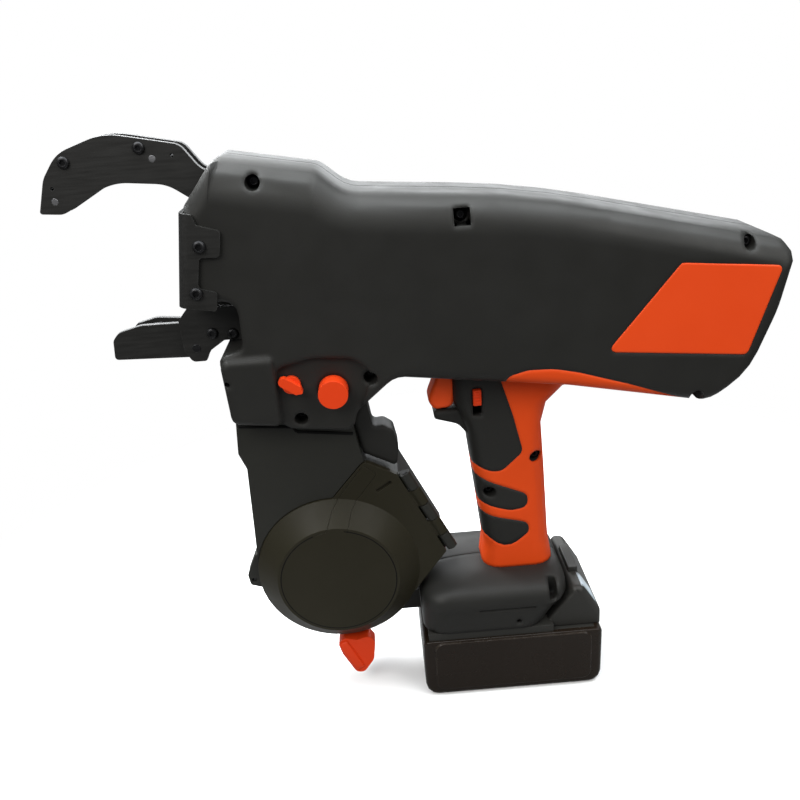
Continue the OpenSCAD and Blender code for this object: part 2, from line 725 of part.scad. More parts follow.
// Trigger, its switch and its lock
trigger_round = 3;
trigger_half = trigger_width / 2;
trigger_shares = [
    [-0.115, 0.772, 1.2, 1], [0.008, 0.778, 1.6, 1], [0.046, 0.860, 2, 1], [0.024, 0.990, 1.1, 1],
    [-0.132, 0.990, 1.1, 1], [-0.145, 0.895, 6, 1], [-0.171, 0.815, 2.2, 1]
];
trigger_form = corners(trigger_shares, handle_depth, handle_length, -handle_front, handle_rise,
                       trigger_round, trigger_round);
trigger_rear = at_handle([0.046, 0])[0];
trigger_spring_z = at_handle([0, 0.860])[1];
trigger_spring_r = 3.2;
switch_shares = [[0.204, 0.487], [0.790, 0.945]];
lock_x_share = 0.176;
lock_slot_shares = [0.760, 0.877];
lock_knob_shares = [0.808, 0.872];
lock_half = 2.3;
lock_flange_half = 4.4;
lock_flange = 1.4;
lock_proud = 1.4;

// The left half of the moulded housing, before it is hollowed
module shell_blank() {
    difference() {
        union() {
            pillow_half(body, body_half);
            pillow_half(feeder, body_half + feeder_proud, -body_half / 2);
            pillow_half(handle, handle_half);
        }
        grip_zone();
    }
    foot_blank();
    pillow_half(lip, lip_half);
}

module foot_blank() {
    cap = fan(len(foot_row(foot_levels_shares[0])));
    row_skin([for (s = foot_levels_shares) foot_row(s)], [cap, cap]);
}

// The space of the soft skin: its outline less the hard islands and less the cores beneath
module grip_zone() {
    difference() {
        side(-body_half - overrun, overrun)
            difference() {
                polygon(ring(on_handle(grip_shares)));
                polygon(ring(backwards(on_handle(upper_pad_shares))));
                polygon(ring(backwards(on_handle(lower_pad_shares))));
            }
        pillow_half(drawn_in(body, skin), body_half - skin, 2 * overrun);
        pillow_half(drawn_in(handle, skin), handle_half - skin, 2 * overrun);
    }
}

// The drive's hollow, less the ribs and bosses that stand in it
module drive_room(is_left) {
    $fn = room_sides;
    difference() {
        pillow_half(drawn_in(body, wall), body_half - wall, overrun);
        rib_wall(bearing_start, bearing_length);
        rib_wall(gearbox_start + rib, rib);
        rib_wall(motor_start + motor_length - 2 * rib, rib);
        block([for (s = jaw_seat_shares[0]) at_body([s, 0])[0]], [-jaw_seat_half, 2 * overrun],
              [for (s = jaw_seat_shares[1]) at_body([0, s])[1]]);
        for (s = body_screw_shares)
            bar(at_body(s), boss_r, -body_half, 2 * overrun);
        bar(idler_at, axle_boss_r, -body_half, -gear_width / 2 - axle_boss_gap);
        translate([nip[0], 0, nip[1]])
            rotate([0, -nose_up, 0])
                block([-cutter_long * 2, cutter_long / 2], [-cutter_wide / 2, 2 * overrun],
                      [guide_rib_start, guide_rib_start + guide_rib]);
        if (is_left)
            side(-body_half, recess_floor + button_flange + wall / 2)
                polygon(ring(drawn_in(recess, -wall)));
        else {
            bar(button_at, post_r, -body_half, 2 * overrun);
            nose_frame()
                for (x = [rib, board_length - rib], z = [rib - board_low, board_high - rib])
                    translate([board_start + x, -board_y - board_t - fit, z])
                        rotate([90, 0, 0])
                            cylinder(r = rib, h = body_half);
        }
    }
}

module rib_wall(x, long) {
    nose_frame()
        block([x, x + long], [-body_width, 2 * overrun], [-gearbox_r - rib, body_height]);
}

// The openings that both halves have: jaw slot, bracket slots, face window, axles and wire
module shell_openings() {
    plate(drawn_in(jaw, -fit / 2), -jaw_half - fit / 2, overrun);
    plate(drawn_in(bracket, -fit), -cheek_out - fit, -cheek_in + fit);
    nose_frame() {
        block([-3 * overrun, wall + overrun], [-window_half, overrun], [-window_half, window_half]);
        shaft_along(bearing_r + fit / 3, bearing_start - overrun, bearing_start + bearing_length + overrun);
        shaft_along(gearbox_r + fit / 3, gearbox_start, gearbox_start + 3 * rib);
        shaft_along(motor_r + fit / 3, motor_start + motor_length - 3 * rib, motor_start + motor_length);
    }
    bar(idler_at, axle_r + run_fit, -axle_half - fit, overrun);
    translate([nip[0], 0, body_rise - overrun])
        cylinder(r = guide_r + fit / 2, h = nip[1] - body_rise);
    translate([nip[0], 0, nip[1]])
        rotate([0, -nose_up, 0])
            cylinder(r = guide_r + fit / 2, h = guide_rib_start + guide_rib + overrun);
    nose_frame()
        for (s = guard_screw_shares)
            translate([s[0] * wing, 0, s[1] * guard_height - guard_low])
                rotate([90, 0, 0])
                    cylinder(r = guard_screw_r, h = body_half + overrun);
    handle_room();
    foot_room();
}

module handle_room() {
    plate(drawn_in(handle, handle_core_inset), -handle_room_half, overrun);
    window_z = [for (s = [lip_shares[4][1], trigger_shares[3][1]]) at_handle([0, s])[1]];
    block([-handle_front - handle_half, trigger_rear + trigger_travel + 2 * fit], [-trigger_half - 2 * fit, overrun],
          [window_z[0], window_z[1] + 2 * overrun]);
}

module foot_room() {
    low = foot_low - overrun;
    neck_top = case_height + deck + tower_neck - fit;
    block([tower_front - 2 * fit, foot_front], [-tower_neck_half - fit, overrun], [low, neck_top + overrun]);
    block([tower_front - 2 * fit, foot_front], [-tower_half - fit, overrun],
          [neck_top, case_height + deck + tower_high + fit]);
    block([terminal_front - fit, tower_front], [-terminal_half - fit, overrun],
          [low, foot_low + terminal_high + fit]);
    block([-handle_room_half, handle_room_half * 2], [-handle_room_half, overrun],
          [neck_top, foot_low + foot_height + handle_half]);
}

module screw_holes(is_left) {
    for (s = body_screw_shares)
        screw_hole(at_body(s), pocket_seat, screw_tip, body_half, is_left);
    for (s = handle_screw_shares)
        screw_hole(at_handle(s), handle_pocket_seat, handle_screw_tip, handle_half, is_left);
}

module screw_hole(p, seat, tip, half, is_left) {
    bar(p, screw_r, is_left ? -seat - overrun : -tip, overrun);
    if (is_left)
        bar(p, pocket_r, -half - feeder_proud - overrun, -seat);
}

// The left shell's own cuts: the control recess, the button, the lever, the lock and the panel
module left_cuts() {
    plate(recess, -body_half - feeder_proud - overrun, recess_floor);
    bar(button_at, button_r + fit / 2, -body_half, -body_half / 2);
    bar(lever_at, lever_shaft_r + fit / 2, -body_half, -body_half / 2);
    plate(panel, -body_half - overrun, -body_half + panel_deep);
    shell_marks();
    lock_z = [for (s = lock_slot_shares) at_handle([0, s])[1]];
    lock_x = at_handle([lock_x_share, 0])[0];
    block([lock_x - lock_half - fit, lock_x + lock_half + fit], [-handle_width, -handle_room_half + overrun], lock_z);
    block([lock_x - lock_flange_half - fit, lock_x + lock_flange_half + fit],
          [-handle_room_half - lock_flange - 2 * fit, -handle_room_half + overrun],
          [lock_z[0] - 3 * fit - lock_flange, lock_z[1] + 3 * fit + lock_flange]);
}

// Small openings in the left side: a strap slot, a vent and a hole in the foot, and two in the body
module shell_marks() {
    out = -body_half - feeder_proud - overrun;
    slot_z = [for (s = strap_slot_shares) foot_low + s * foot_height];
    for (z = slot_z)
        bar([strap_slot_x, z], strap_slot_r, out, -strap_slot_deep);
    block([strap_slot_x - strap_slot_r, strap_slot_x + strap_slot_r], [out, -strap_slot_deep], slot_z);
    block(vent_x, [out, -foot_half + 3 * overrun], [for (s = vent_shares) foot_low + s * foot_height]);
    bar([foot_hole[0], foot_hole[1]], jaw_screw_r, out, -foot_half + 6 * overrun);
    bar(at_body(feeder_hole_share), jaw_screw_r, out, -body_half + recess_deep);
    crown = at_body(body_screw_shares[1]);
    block([crown[0] - square_half, crown[0] + square_half], [out, -pocket_seat - screw_head],
          [crown[1] - square_half, crown[1] + square_half]);
}

module shell_half(is_left) {
    difference() {
        moulded()
            difference() {
                shell_blank();
                drive_room(is_left);
            }
        shell_openings();
        screw_holes(is_left);
        if (is_left)
            left_cuts();
    }
}

module left_shell() { color("#2d2d2b") shell_half(true); }
module right_shell() { color("#2d2d2b") mirror([0, 1, 0]) shell_half(false); }

module grip_half() {
    difference() {
        moulded()
            difference() {
                intersection() {
                    grip_zone();
                    union() {
                        pillow_half(body, body_half);
                        pillow_half(handle, handle_half);
                    }
                }
                foot_blank();
            }
        for (s = handle_screw_shares)
            bar(at_handle(s), pocket_r, -handle_half - overrun, overrun);
    }
}

module left_grip() { color("#e2501e") grip_half(); }
module right_grip() { color("#e2501e") mirror([0, 1, 0]) grip_half(); }

module rear_panel() {
    color("#e2501e") plate(drawn_in(panel, fit / 2), -body_half - fit / 2, -body_half + panel_deep);
}

module shell_screws() {
    color("#3a3a3c") {
        for (s = body_screw_shares)
            shell_screw(at_body(s), pocket_seat, screw_tip);
        for (s = handle_screw_shares)
            shell_screw(at_handle(s), handle_pocket_seat, handle_screw_tip);
    }
}

module shell_screw(p, seat, tip) {
    bar(p, screw_head_r, -seat - screw_head, -seat);
    bar(p, screw_r, -seat - overrun, tip);
}

// The bent steel guard round the face
module front_plate() {
    form = corners(guard_shares, wing, guard_height, 0, -guard_low, body_corner / 2, 0);
    half = body_half + fit / 3;
    color("#1e1e1f")
        nose_frame()
            difference() {
                intersection() {
                    translate([0, 0, -guard_low])
                        linear_extrude(guard_height)
                            difference() {
                                guard_plan(half + sheet, guard_corner + sheet, -sheet - fit / 3);
                                guard_plan(half, guard_corner, -fit / 3);
                            }
                    side(-body_width, body_width) polygon(ring(form));
                }
                block([-body_half, 0], [-window_half, window_half], [-window_half, window_half]);
                for (s = guard_screw_shares)
                    bar([s[0] * wing, s[1] * guard_height - guard_low], guard_screw_r + fit / 3, -body_width, body_width);
            }
}

// A plan of the guard: a rectangle with rounded front corners
module guard_plan(half, r, front) {
    polygon(concat(
        [[2 * wing, -half], [2 * wing, half]],
        [for (a = [90 : 15 : 180]) [front + r + r * cos(a), half - r + r * sin(a)]],
        [for (a = [180 : 15 : 270]) [front + r + r * cos(a), r - half + r * sin(a)]]
    ));
}

module front_plate_screws() {
    out = body_half + fit / 3 + sheet;
    color("#2a2a2c")
        nose_frame()
            for (s = guard_screw_shares, way = [-1, 1])
                scale([1, way, 1])
                    let (p = [s[0] * wing, s[1] * guard_height - guard_low]) {
                        bar(p, guard_head_r, -out - guard_head, -out);
                        bar(p, guard_screw_r - fit / 6, -out - guard_head / 2, -out + guard_screw_long);
                    }
}

module jaw_drilled(y_low, y_high, inset) {
    difference() {
        steel_plate(drawn_in(jaw, inset), y_low, y_high);
        for (s = jaw_screw_shares)
            bar(at_jaw(s), jaw_screw_r + run_fit, y_low - overrun, y_high + overrun);
        for (s = jaw_pin_shares)
            bar(at_jaw(s), jaw_pin_r + run_fit, y_low - overrun, y_high + overrun);
        for (s = jaw_hole_shares)
            bar(at_jaw(s), jaw_hole_r, y_low - overrun, y_high + overrun);
    }
}

module upper_jaw_left_plate() { color("#232324") jaw_drilled(-jaw_half, -jaw_gap / 2, 0); }
module upper_jaw_right_plate() { color("#232324") jaw_drilled(jaw_gap / 2, jaw_half, 0); }
module upper_jaw_guide() { color("#4a4a4c") jaw_drilled(-jaw_gap / 2, jaw_gap / 2, guide_inset); }

module upper_jaw_screws() {
    color("#303032")
        for (s = jaw_screw_shares) {
            bar(at_jaw(s), jaw_screw_r, -jaw_half - jaw_head / 2, jaw_half);
            bar(at_jaw(s), jaw_head_r, -jaw_half - jaw_head, -jaw_half);
        }
}

module upper_jaw_pins() {
    color("#b9bcc0")
        for (s = jaw_pin_shares)
            bar(at_jaw(s), jaw_pin_r, -jaw_half, jaw_half);
}

module jaw_bracket() {
    color("#232324")
        difference() {
            union() {
                steel_plate(bracket, -cheek_out, -cheek_in);
                steel_plate(bracket, cheek_in, cheek_out);
                block([for (s = web_shares[0]) at_bracket([s, 0])[0]], [-cheek_in, cheek_in],
                      [for (s = web_shares[1]) at_bracket([0, s])[1]]);
            }
            bar(pivot_at, pivot_r + run_fit, -cheek_out - overrun, cheek_out + overrun);
            for (s = bracket_screw_shares, y = [-cheek_out - overrun, cheek_in - lower_plate])
                bar(at_bracket(s), jaw_screw_r + run_fit, y, y + 2 * lower_plate + overrun);
        }
}

module bracket_screws() {
    color("#3a3a3c")
        for (s = bracket_screw_shares, way = [-1, 1])
            scale([1, way, 1]) {
                bar(at_bracket(s), jaw_head_r, -cheek_out - jaw_head, -cheek_out);
                bar(at_bracket(s), jaw_screw_r, -cheek_out - jaw_head / 2, -cheek_in + lower_plate - 2 * fit);
            }
}

module lower_jaw_plate(form, y_low, y_high) {
    difference() {
        steel_plate(form, y_low, y_high);
        bar(pivot_at, pivot_r + run_fit, y_low - overrun, y_high + overrun);
    }
}

module lower_jaw_left_plate() { color("#232324") lower_jaw_plate(lower_jaw, -lower_half, -lower_gap / 2); }
module lower_jaw_right_plate() { color("#232324") lower_jaw_plate(lower_jaw_far, lower_gap / 2, lower_half); }
module lower_jaw_guide() { color("#4a4a4c") plate(lower_guide, -lower_gap / 2, lower_gap / 2); }
module lower_jaw_pin() { color("#b9bcc0") bar(pivot_at, pivot_r, -cheek_out - fit, cheek_out + fit); }

module lower_jaw_spring() {
    long = lower_gap - 4 * fit;
    color("#8d9094")
        translate([pivot_at[0], long / 2, pivot_at[1]])
            rotate([90, 0, 0])
                coil(pivot_r + 2 * spring_wire, spring_wire, long, 6);
}

module twister_hooks() {
    color("#7c7f84")
        nose_frame() {
            shaft_along(twist_r, shaft_start - hub_length, shaft_start);
            for (way = [-1, 1])
                scale([1, 1, way]) {
                    block([hook_start, shaft_start - hub_length / 2], [-hook_arm, hook_arm],
                          [hook_reach - hook_arm, hook_reach]);
                    block([hook_start, hook_start + hook_arm], [-hook_arm, hook_arm],
                          [hook_arm / 2, hook_reach - hook_arm / 2]);
                }
        }
}

module twist_shaft() {
    color("#9a9da2") nose_frame() shaft_along(twist_r, shaft_start, shaft_start + shaft_length);
}

module twist_bearing() {
    color("#b4b7bb")
        nose_frame()
            difference() {
                shaft_along(bearing_r, bearing_start, bearing_start + bearing_length);
                shaft_along(twist_r + run_fit, bearing_start - overrun, bearing_start + bearing_length + overrun);
            }
}

module twist_gearbox() {
    color("#6d7074")
        nose_frame() {
            shaft_along(gearbox_r, gearbox_start, gearbox_start + gearbox_length - rib);
            shaft_along(motor_r, gearbox_start + gearbox_length - 2 * rib, gearbox_start + gearbox_length);
        }
}

module twist_motor() {
    color("#55585c")
        nose_frame()
            difference() {
                shaft_along(motor_r, motor_start, motor_start + motor_length);
                for (a = [0 : 60 : 300])
                    rotate([a, 0, 0])
                        block([motor_start + rib, motor_start + 4 * rib], [-rib, rib], [motor_r - rib / 2, 2 * motor_r]);
            }
}

module control_board() {
    color("#1f6a3c")
        nose_frame() {
            block([board_start, board_start + board_length], [board_y, board_y + board_t], [-board_low, board_high]);
            for (x = [2 * rib, 5 * rib, 8 * rib])
                translate([board_start + x, board_y, 0])
                    block([0, 2 * rib], [-rib, 0], [-rib, rib]);
        }
}

// A feed gear: straight sided teeth on a disc, with its axle
module feed_gear(p, turn, y_low, y_high) {
    tip_share = 0.22;
    root_share = 0.50;
    pitch = 360 / gear_teeth;
    translate([p[0], gear_width / 2, p[1]])
        rotate([90, 0, 0])
            linear_extrude(gear_width)
                polygon([for (i = [0 : gear_teeth - 1], s = [[-root_share, gear_root], [-tip_share, gear_r],
                                                           [tip_share, gear_r], [root_share, gear_root]])
                    let (a = turn + pitch * (i + s[0] / 2)) s[1] * [cos(a), sin(a)]]);
    bar(p, axle_r, y_low, y_high);
}

module feed_drive_gear() {
    color("#a9894a") feed_gear(drive_at, 0, -gear_width, feed_motor_start - fit);
}

module feed_idler_gear() {
    color("#a9894a") feed_gear(idler_at, 180 / gear_teeth, -axle_half, axle_half);
}

module feed_motor() {
    color("#55585c") bar(drive_at, feed_motor_r, feed_motor_start, body_half - wall - fit);
}

module wire_tube(z_low, z_high) {
    translate([0, 0, z_low])
        difference() {
            cylinder(r = guide_r, h = z_high - z_low);
            translate([0, 0, -overrun])
                cylinder(r = guide_bore, h = z_high - z_low + 2 * overrun);
        }
}

module lower_wire_guide() {
    color("#b08d45")
        translate([nip[0], 0, body_rise])
            wire_tube(guide_foot, nip[1] - body_rise - gear_r);
}

module upper_wire_guide() {
    color("#b08d45")
        translate([nip[0], 0, nip[1]])
            rotate([0, -nose_up, 0])
                wire_tube(upper_guide_start, upper_guide_start + upper_guide_length);
}

module wire_cutter() {
    low = upper_guide_start + upper_guide_length + fit;
    color("#8d9094")
        translate([nip[0], 0, nip[1]])
            rotate([0, -nose_up, 0])
                difference() {
                    block([-cutter_long * cutter_front_share, cutter_long / 2], [-cutter_wide / 2, cutter_wide / 2],
                          [low, low + cutter_high]);
                    translate([0, 0, low - overrun])
                        cylinder(r = guide_bore, h = cutter_high + 2 * overrun);
                }
}

// The small release lever: a hub with a rounded blade, on a shaft through the wall
module feed_release_lever() {
    top = recess_floor - fit;
    tail = recess_floor + wall + button_flange;
    color("#c8371e") {
        bar(lever_at, lever_hub_r, top - lever_thick / 2, top);
        bar(lever_at, lever_shaft_r, top - overrun, tail);
        translate([lever_at[0], 0, lever_at[1]])
            rotate([0, lever_turn, 0])
                side(top - lever_thick, top - lever_thick / 4)
                    polygon(ring([
                        [-lever_blade, -lever_blade_r, lever_blade_r, 0], [lever_blade * 0.6, -lever_blade_r, lever_blade_r / 3, 0],
                        [lever_blade, 0, lever_blade_r / 4, 0], [lever_blade * 0.6, lever_blade_r, lever_blade_r / 3, 0],
                        [-lever_blade, lever_blade_r, lever_blade_r, 0]
                    ]));
    }
}

module feed_lock_button() {
    front = -body_half - button_proud;
    color("#d8401c") {
        bar(button_at, button_r, front, button_back);
        bar(button_at, button_flange_r, button_back + fit, button_back + fit + button_flange);
        bar(button_at, button_r - wall, front + overrun, button_back + fit + button_flange);
    }
}

module button_spring() {
    start = button_back + fit + button_flange;
    color("#8d9094")
        translate([button_at[0], start, button_at[1]])
            rotate([-90, 0, 0])
                coil(post_r - 2 * spring_wire, spring_wire, button_spring_length, 6);
}

// The reel case: a drum and a neck up to the feeder
module reel_case() {
    neck = on_reel(neck_shares);
    color("#2b2b29")
        difference() {
            union() {
                bar(reel, case_r, drum_left, drum_right);
                plate(neck, neck_left, drum_right);
                plate(backwards(on_reel(nose_lug_shares)), drum_left, nose_lug_right);
                for (k = [0 : 2 : knuckles - 1])
                    hinge_knuckle(k, 1);
                block([for (s = lug_shares[0]) lock_at[0] + s * case_r], [lock_right + fit, lug_right],
                      [for (s = lug_shares[1]) lock_at[1] + s * case_r]);
                block([for (s = foot_lug_shares[0]) at_reel([s, 0])[0]], [-foot_lug_half, foot_lug_half],
                      [for (s = foot_lug_shares[1]) at_reel([0, s])[1]]);
            }
            bar(reel, case_r - drum_wall, drum_left - overrun, drum_right - drum_wall);
            plate(drawn_in(neck, drum_wall), drum_left, drum_right - drum_wall);
            lid_space();
            bar(at_reel(nose_lug_hole_share), jaw_screw_r, drum_left - overrun, nose_lug_right + overrun);
            translate([nip[0], 0, body_rise - 4 * drum_wall])
                cylinder(r = guide_r + fit, h = 8 * drum_wall);
            hinge_axis(hinge_pin_r + run_fit, -overrun, hinge_long + overrun);
            bar(lock_at, lock_pin_r + run_fit, lock_left - overrun, lug_right + overrun);
        }
}

// What the lid takes up on the case's left side, with its gap
module lid_space() {
    bar(reel, case_r + lid_gap, -case_r, drum_left);
    plate(drawn_in(on_reel(lid_shares), -lid_gap), -case_r, drum_left);
    for (k = [1 : 2 : knuckles - 1])
        hinge_knuckle(k, -1, lid_gap);
}

module hinge_axis(r, low, high) {
    translate([hinge_top[0], hinge_y, hinge_top[1]])
        rotate([0, 180 - hinge_lean, 0])
            translate([0, 0, low])
                cylinder(r = r, h = high - low);
}

// One knuckle on the hinge line, with a web to the case (way 1) or to the lid (way -1)
module hinge_knuckle(k, way, more = 0) {
    long = hinge_long / knuckles;
    low = k * long + fit - more;
    high = (k + 1) * long - fit + more;
    hinge_axis(knuckle_r + more, low, high);
    translate([hinge_top[0], hinge_y, hinge_top[1]])
        rotate([0, 180 - hinge_lean, 0])
            if (way > 0)
                block([0, knuckle_web], [drum_left - hinge_y, drum_left - hinge_y + drum_wall], [low, high]);
            else
                block([0, knuckle_web], [lid_left - hinge_y + fit - more, drum_left - hinge_y - 2 * fit + more], [low, high]);
}

module magazine_bracket() {
    color("#232322") plate(on_reel(clip_shares), drum_left + 2, clip_right);
}

// The lid's outer form, moved toward the case by a distance: a turned rim and cone, and a flat wing
module lid_form(back = 0) {
    rim = [[0, cone_left], [cone_top_r, cone_left], [case_r, lid_left], [case_r, drum_left - fit], [0, drum_left - fit]];
    turned_on_reel(rim, back);
    translate([0, back, 0])
        plate(on_reel(lid_shares), lid_left, drum_left - fit);
}

// A profile of [radius, y] turned about the reel's axis
module turned_on_reel(profile, back = 0) {
    translate([reel[0], back, reel[1]])
        rotate([90, 0, 0])
            rotate_extrude()
                polygon([for (p = profile) [p[0], -p[1]]]);
}

module reel_lid() {
    room_r = case_r - 2 * drum_wall + fit;
    hole_r = disc_r - drum_wall;
    room = [
        [0, cone_left - overrun], [disc_r + fit / 2, cone_left - overrun], [disc_r + fit / 2, cone_left + disc_t],
        [hole_r, cone_left + disc_t], [hole_r, cone_left + disc_t + drum_wall / 2], [room_r, lid_left - fit],
        [room_r, drum_left + overrun], [0, drum_left + overrun]
    ];
    color("#2b2b29")
        difference() {
            union() {
                lid_form();
                for (k = [1 : 2 : knuckles - 1])
                    hinge_knuckle(k, -1);
            }
            turned_on_reel(room);
            tongue_pocket();
            plate(on_reel(latch_slot_shares), lid_left - overrun, lid_left + tongue_skin);
            hinge_axis(hinge_pin_r + run_fit, -overrun, hinge_long + overrun);
        }
}

module tongue_pocket() {
    difference() {
        plate(drawn_in(on_reel(tongue_shares), -fit / 2), cone_left - overrun, lid_left + tongue_skin - fit);
        lid_form(tongue_skin);
    }
}

// The lid's round disc with its tongue, let into the lid
module lid_disc() {
    color("#30302d") {
        bar(reel, disc_r, cone_left, cone_left + disc_t - fit / 6);
        difference() {
            intersection() {
                lid_form();
                plate(on_reel(tongue_shares), cone_left - overrun, lid_left + tongue_skin - fit);
            }
            lid_form(tongue_skin - fit / 6);
        }
    }
}

module lid_hinge_pin() { color("#b9bcc0") hinge_axis(hinge_pin_r, 0, hinge_long); }

module reel_spindle() {
    right = drum_right - drum_wall;
    color("#3a3a38")
        difference() {
            bar(reel, hub_bore - run_fit, spool_left + flange, right);
            bar(reel, hub_bore - 2 * drum_wall, spool_left, right - drum_wall);
        }
}

module wire_spool() {
    color("#222221")
        difference() {
            union() {
                bar(reel, hub_r, spool_left, spool_right);
                bar(reel, spool_r, spool_left, spool_left + flange);
                bar(reel, spool_r, spool_right - flange, spool_right);
            }
            bar(reel, hub_bore, spool_left - overrun, spool_right + overrun);
            translate([reel[0], spool_right + overrun, reel[1]])
                rotate([90, 0, 0])
                    for (s = slot_rings_share, i = [0 : slots - 1])
                        rotate([0, 0, 360 * i / slots])
                            rotate_extrude(angle = 240 / slots)
                                translate([s[0] * spool_r, 0])
                                    square([(s[1] - s[0]) * spool_r, spool_right - spool_left + 2 * overrun]);
        }
}

module wire_winding() {
    color("#c9ccd0")
        difference() {
            bar(reel, winding_r, spool_left + flange, spool_right - flange);
            bar(reel, hub_r, spool_left, spool_right);
        }
}

module lid_lock_lever() {
    form = corners(lock_shares, case_r, case_r, lock_at[0], lock_at[1], magazine_corner, 0);
    color("#d8401c")
        difference() {
            plate(form, lock_left, lock_right);
            bar(lock_at, lock_pin_r + run_fit, lock_left + drum_wall, lock_right + overrun);
        }
}

module lock_lever_pin() {
    color("#b9bcc0") bar(lock_at, lock_pin_r, lock_left + drum_wall + fit, lug_right);
}

module trigger() { color("#e2501e") pillow(trigger_form, trigger_half); }

module trigger_spring() {
    switch_x = at_handle([switch_shares[0][0], 0])[0];
    color("#8d9094")
        translate([trigger_rear, 0, trigger_spring_z])
            rotate([0, 90, 0])
                coil(trigger_spring_r, spring_wire, switch_x - trigger_rear, 6);
}

module trigger_switch() {
    half = handle_room_half - fit;
    color("#262627")
        block([for (s = switch_shares[0]) at_handle([s, 0])[0]], [-half, half],
              [for (s = switch_shares[1]) at_handle([0, s])[1]]);
}

module trigger_lock() {
    x = at_handle([lock_x_share, 0])[0];
    z = [for (s = lock_knob_shares) at_handle([0, s])[1]];
    inner = -handle_room_half - fit;
    color("#d8401c") {
        block([x - lock_half, x + lock_half], [-handle_half - lock_proud, inner], z);
        block([x - lock_flange_half, x + lock_flange_half], [inner - lock_flange, inner],
              [z[0] - lock_flange, z[1] + lock_flange]);
    }
}

module terminal_block() {
    high = foot_low + terminal_high;
    color("#3c3a36")
        block([terminal_front, tower_front - fit], [-terminal_half, terminal_half], [foot_low, high]);
    color("#b08d45")
        for (y = [-blade_apart, 0, blade_apart])
            block([tower_front - overrun, tower_front + blade_long], [y - blade / 2, y + blade / 2],
                  [high - terminal_high / 2, high - terminal_high / 4]);
}

// The battery's lower case, open at its top, with the raised side panels
module battery_case() {
    long = battery_length / 2;
    form = [
        [-long, 0, battery_corner, battery_round], [long, 0, battery_corner, battery_round],
        [long, case_height, battery_round, battery_round / 3], [-long, case_height, battery_round, battery_round]
    ];
    panel_form = [
        [panel_inset - long, panel_low, panel_corner, 0], [long - panel_inset, panel_low, panel_corner, 0],
        [long - panel_inset, case_height - panel_proud, panel_corner, 0],
        [panel_inset - long, case_height - panel_proud, panel_corner, 0]
    ];
    color("#2a2522")
        difference() {
            union() {
                pillow(form, battery_half - panel_proud);
                plate(panel_form, -battery_half, battery_half);
            }
            block([2 * case_wall - long, long - 2 * case_wall], [-battery_half + 2 * case_wall, battery_half - 2 * case_wall],
                  [case_wall, case_height + overrun]);
        }
}

module battery_cells() {
    pitch = 2 * cell_r + fit;
    color("#5a6c86")
        for (i = [-2 : 2], j = [0, 1])
            bar([i * pitch, case_wall + fit + cell_r + j * pitch], cell_r, -cell_length / 2, cell_length / 2);
}

// The battery's cover: a deck, the rear hump, and the tower that rides in the foot
module battery_cover() {
    low = case_height + deck;
    release_x = [for (s = release_shares) hump_x + s * (battery_length / 2 - hump_x)];
    color("#262625")
        difference() {
            union() {
                block([panel_inset / 2 - battery_length / 2, hump_x + deck], [-deck_half, deck_half], [case_height, low]);
                pillow(hump, hump_half);
                block([tower_front, tower_rear], [-tower_neck_half, tower_neck_half], [low - overrun, low + tower_neck + overrun]);
                block([tower_front, tower_rear], [-tower_half, tower_half], [low + tower_neck, low + tower_high]);
            }
            for (y = [-blade_apart, 0, blade_apart])
                block([tower_front - overrun, tower_front + blade_long + 2 * overrun], [y - blade_slot / 2, y + blade_slot / 2],
                      [low + tower_neck / 2, low + tower_high + overrun]);
            block([release_x[0] - fit, release_x[1] + fit], [-release_half - fit, release_half + fit],
                  [case_height + release_low_share * hump_height - release_travel - fit, case_height + 2 * hump_height]);
        }
}

module battery_button() {
    release_x = [for (s = release_shares) hump_x + s * (battery_length / 2 - hump_x)];
    color("#1d1d1d")
        block(release_x, [-release_half, release_half],
              [case_height + release_low_share * hump_height, case_height + hump_height + release_proud]);
}

left_shell();
right_shell();
left_grip();
right_grip();
rear_panel();
shell_screws();
front_plate();
front_plate_screws();
upper_jaw_left_plate();
upper_jaw_right_plate();
upper_jaw_guide();
upper_jaw_screws();
upper_jaw_pins();
jaw_bracket();
bracket_screws();
lower_jaw_left_plate();
lower_jaw_right_plate();
lower_jaw_guide();
lower_jaw_pin();
lower_jaw_spring();
twister_hooks();
twist_shaft();
twist_bearing();
twist_gearbox();
twist_motor();
control_board();
feed_drive_gear();
feed_idler_gear();
feed_motor();
lower_wire_guide();
upper_wire_guide();
wire_cutter();
feed_release_lever();
feed_lock_button();
button_spring();
reel_case();
magazine_bracket();
reel_lid();
lid_disc();
lid_hinge_pin();
reel_spindle();
wire_spool();
wire_winding();
lid_lock_lever();
lock_lever_pin();
trigger();
trigger_spring();
trigger_switch();
trigger_lock();
terminal_block();
battery_case();
battery_cover();
battery_cells();
battery_button();
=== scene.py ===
# %% [markdown]
# # A battery rebar tying tool
# The tool stands on its battery pack, nose to the left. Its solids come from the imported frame, and this
# script dresses them: soft edges, moulded and metal finishes, and the small pieces that only looks need.

# %% Load the frame
import json
import math

import bmesh
import bpy
from mathutils import Matrix, Vector
from mathutils.bvhtree import BVHTree

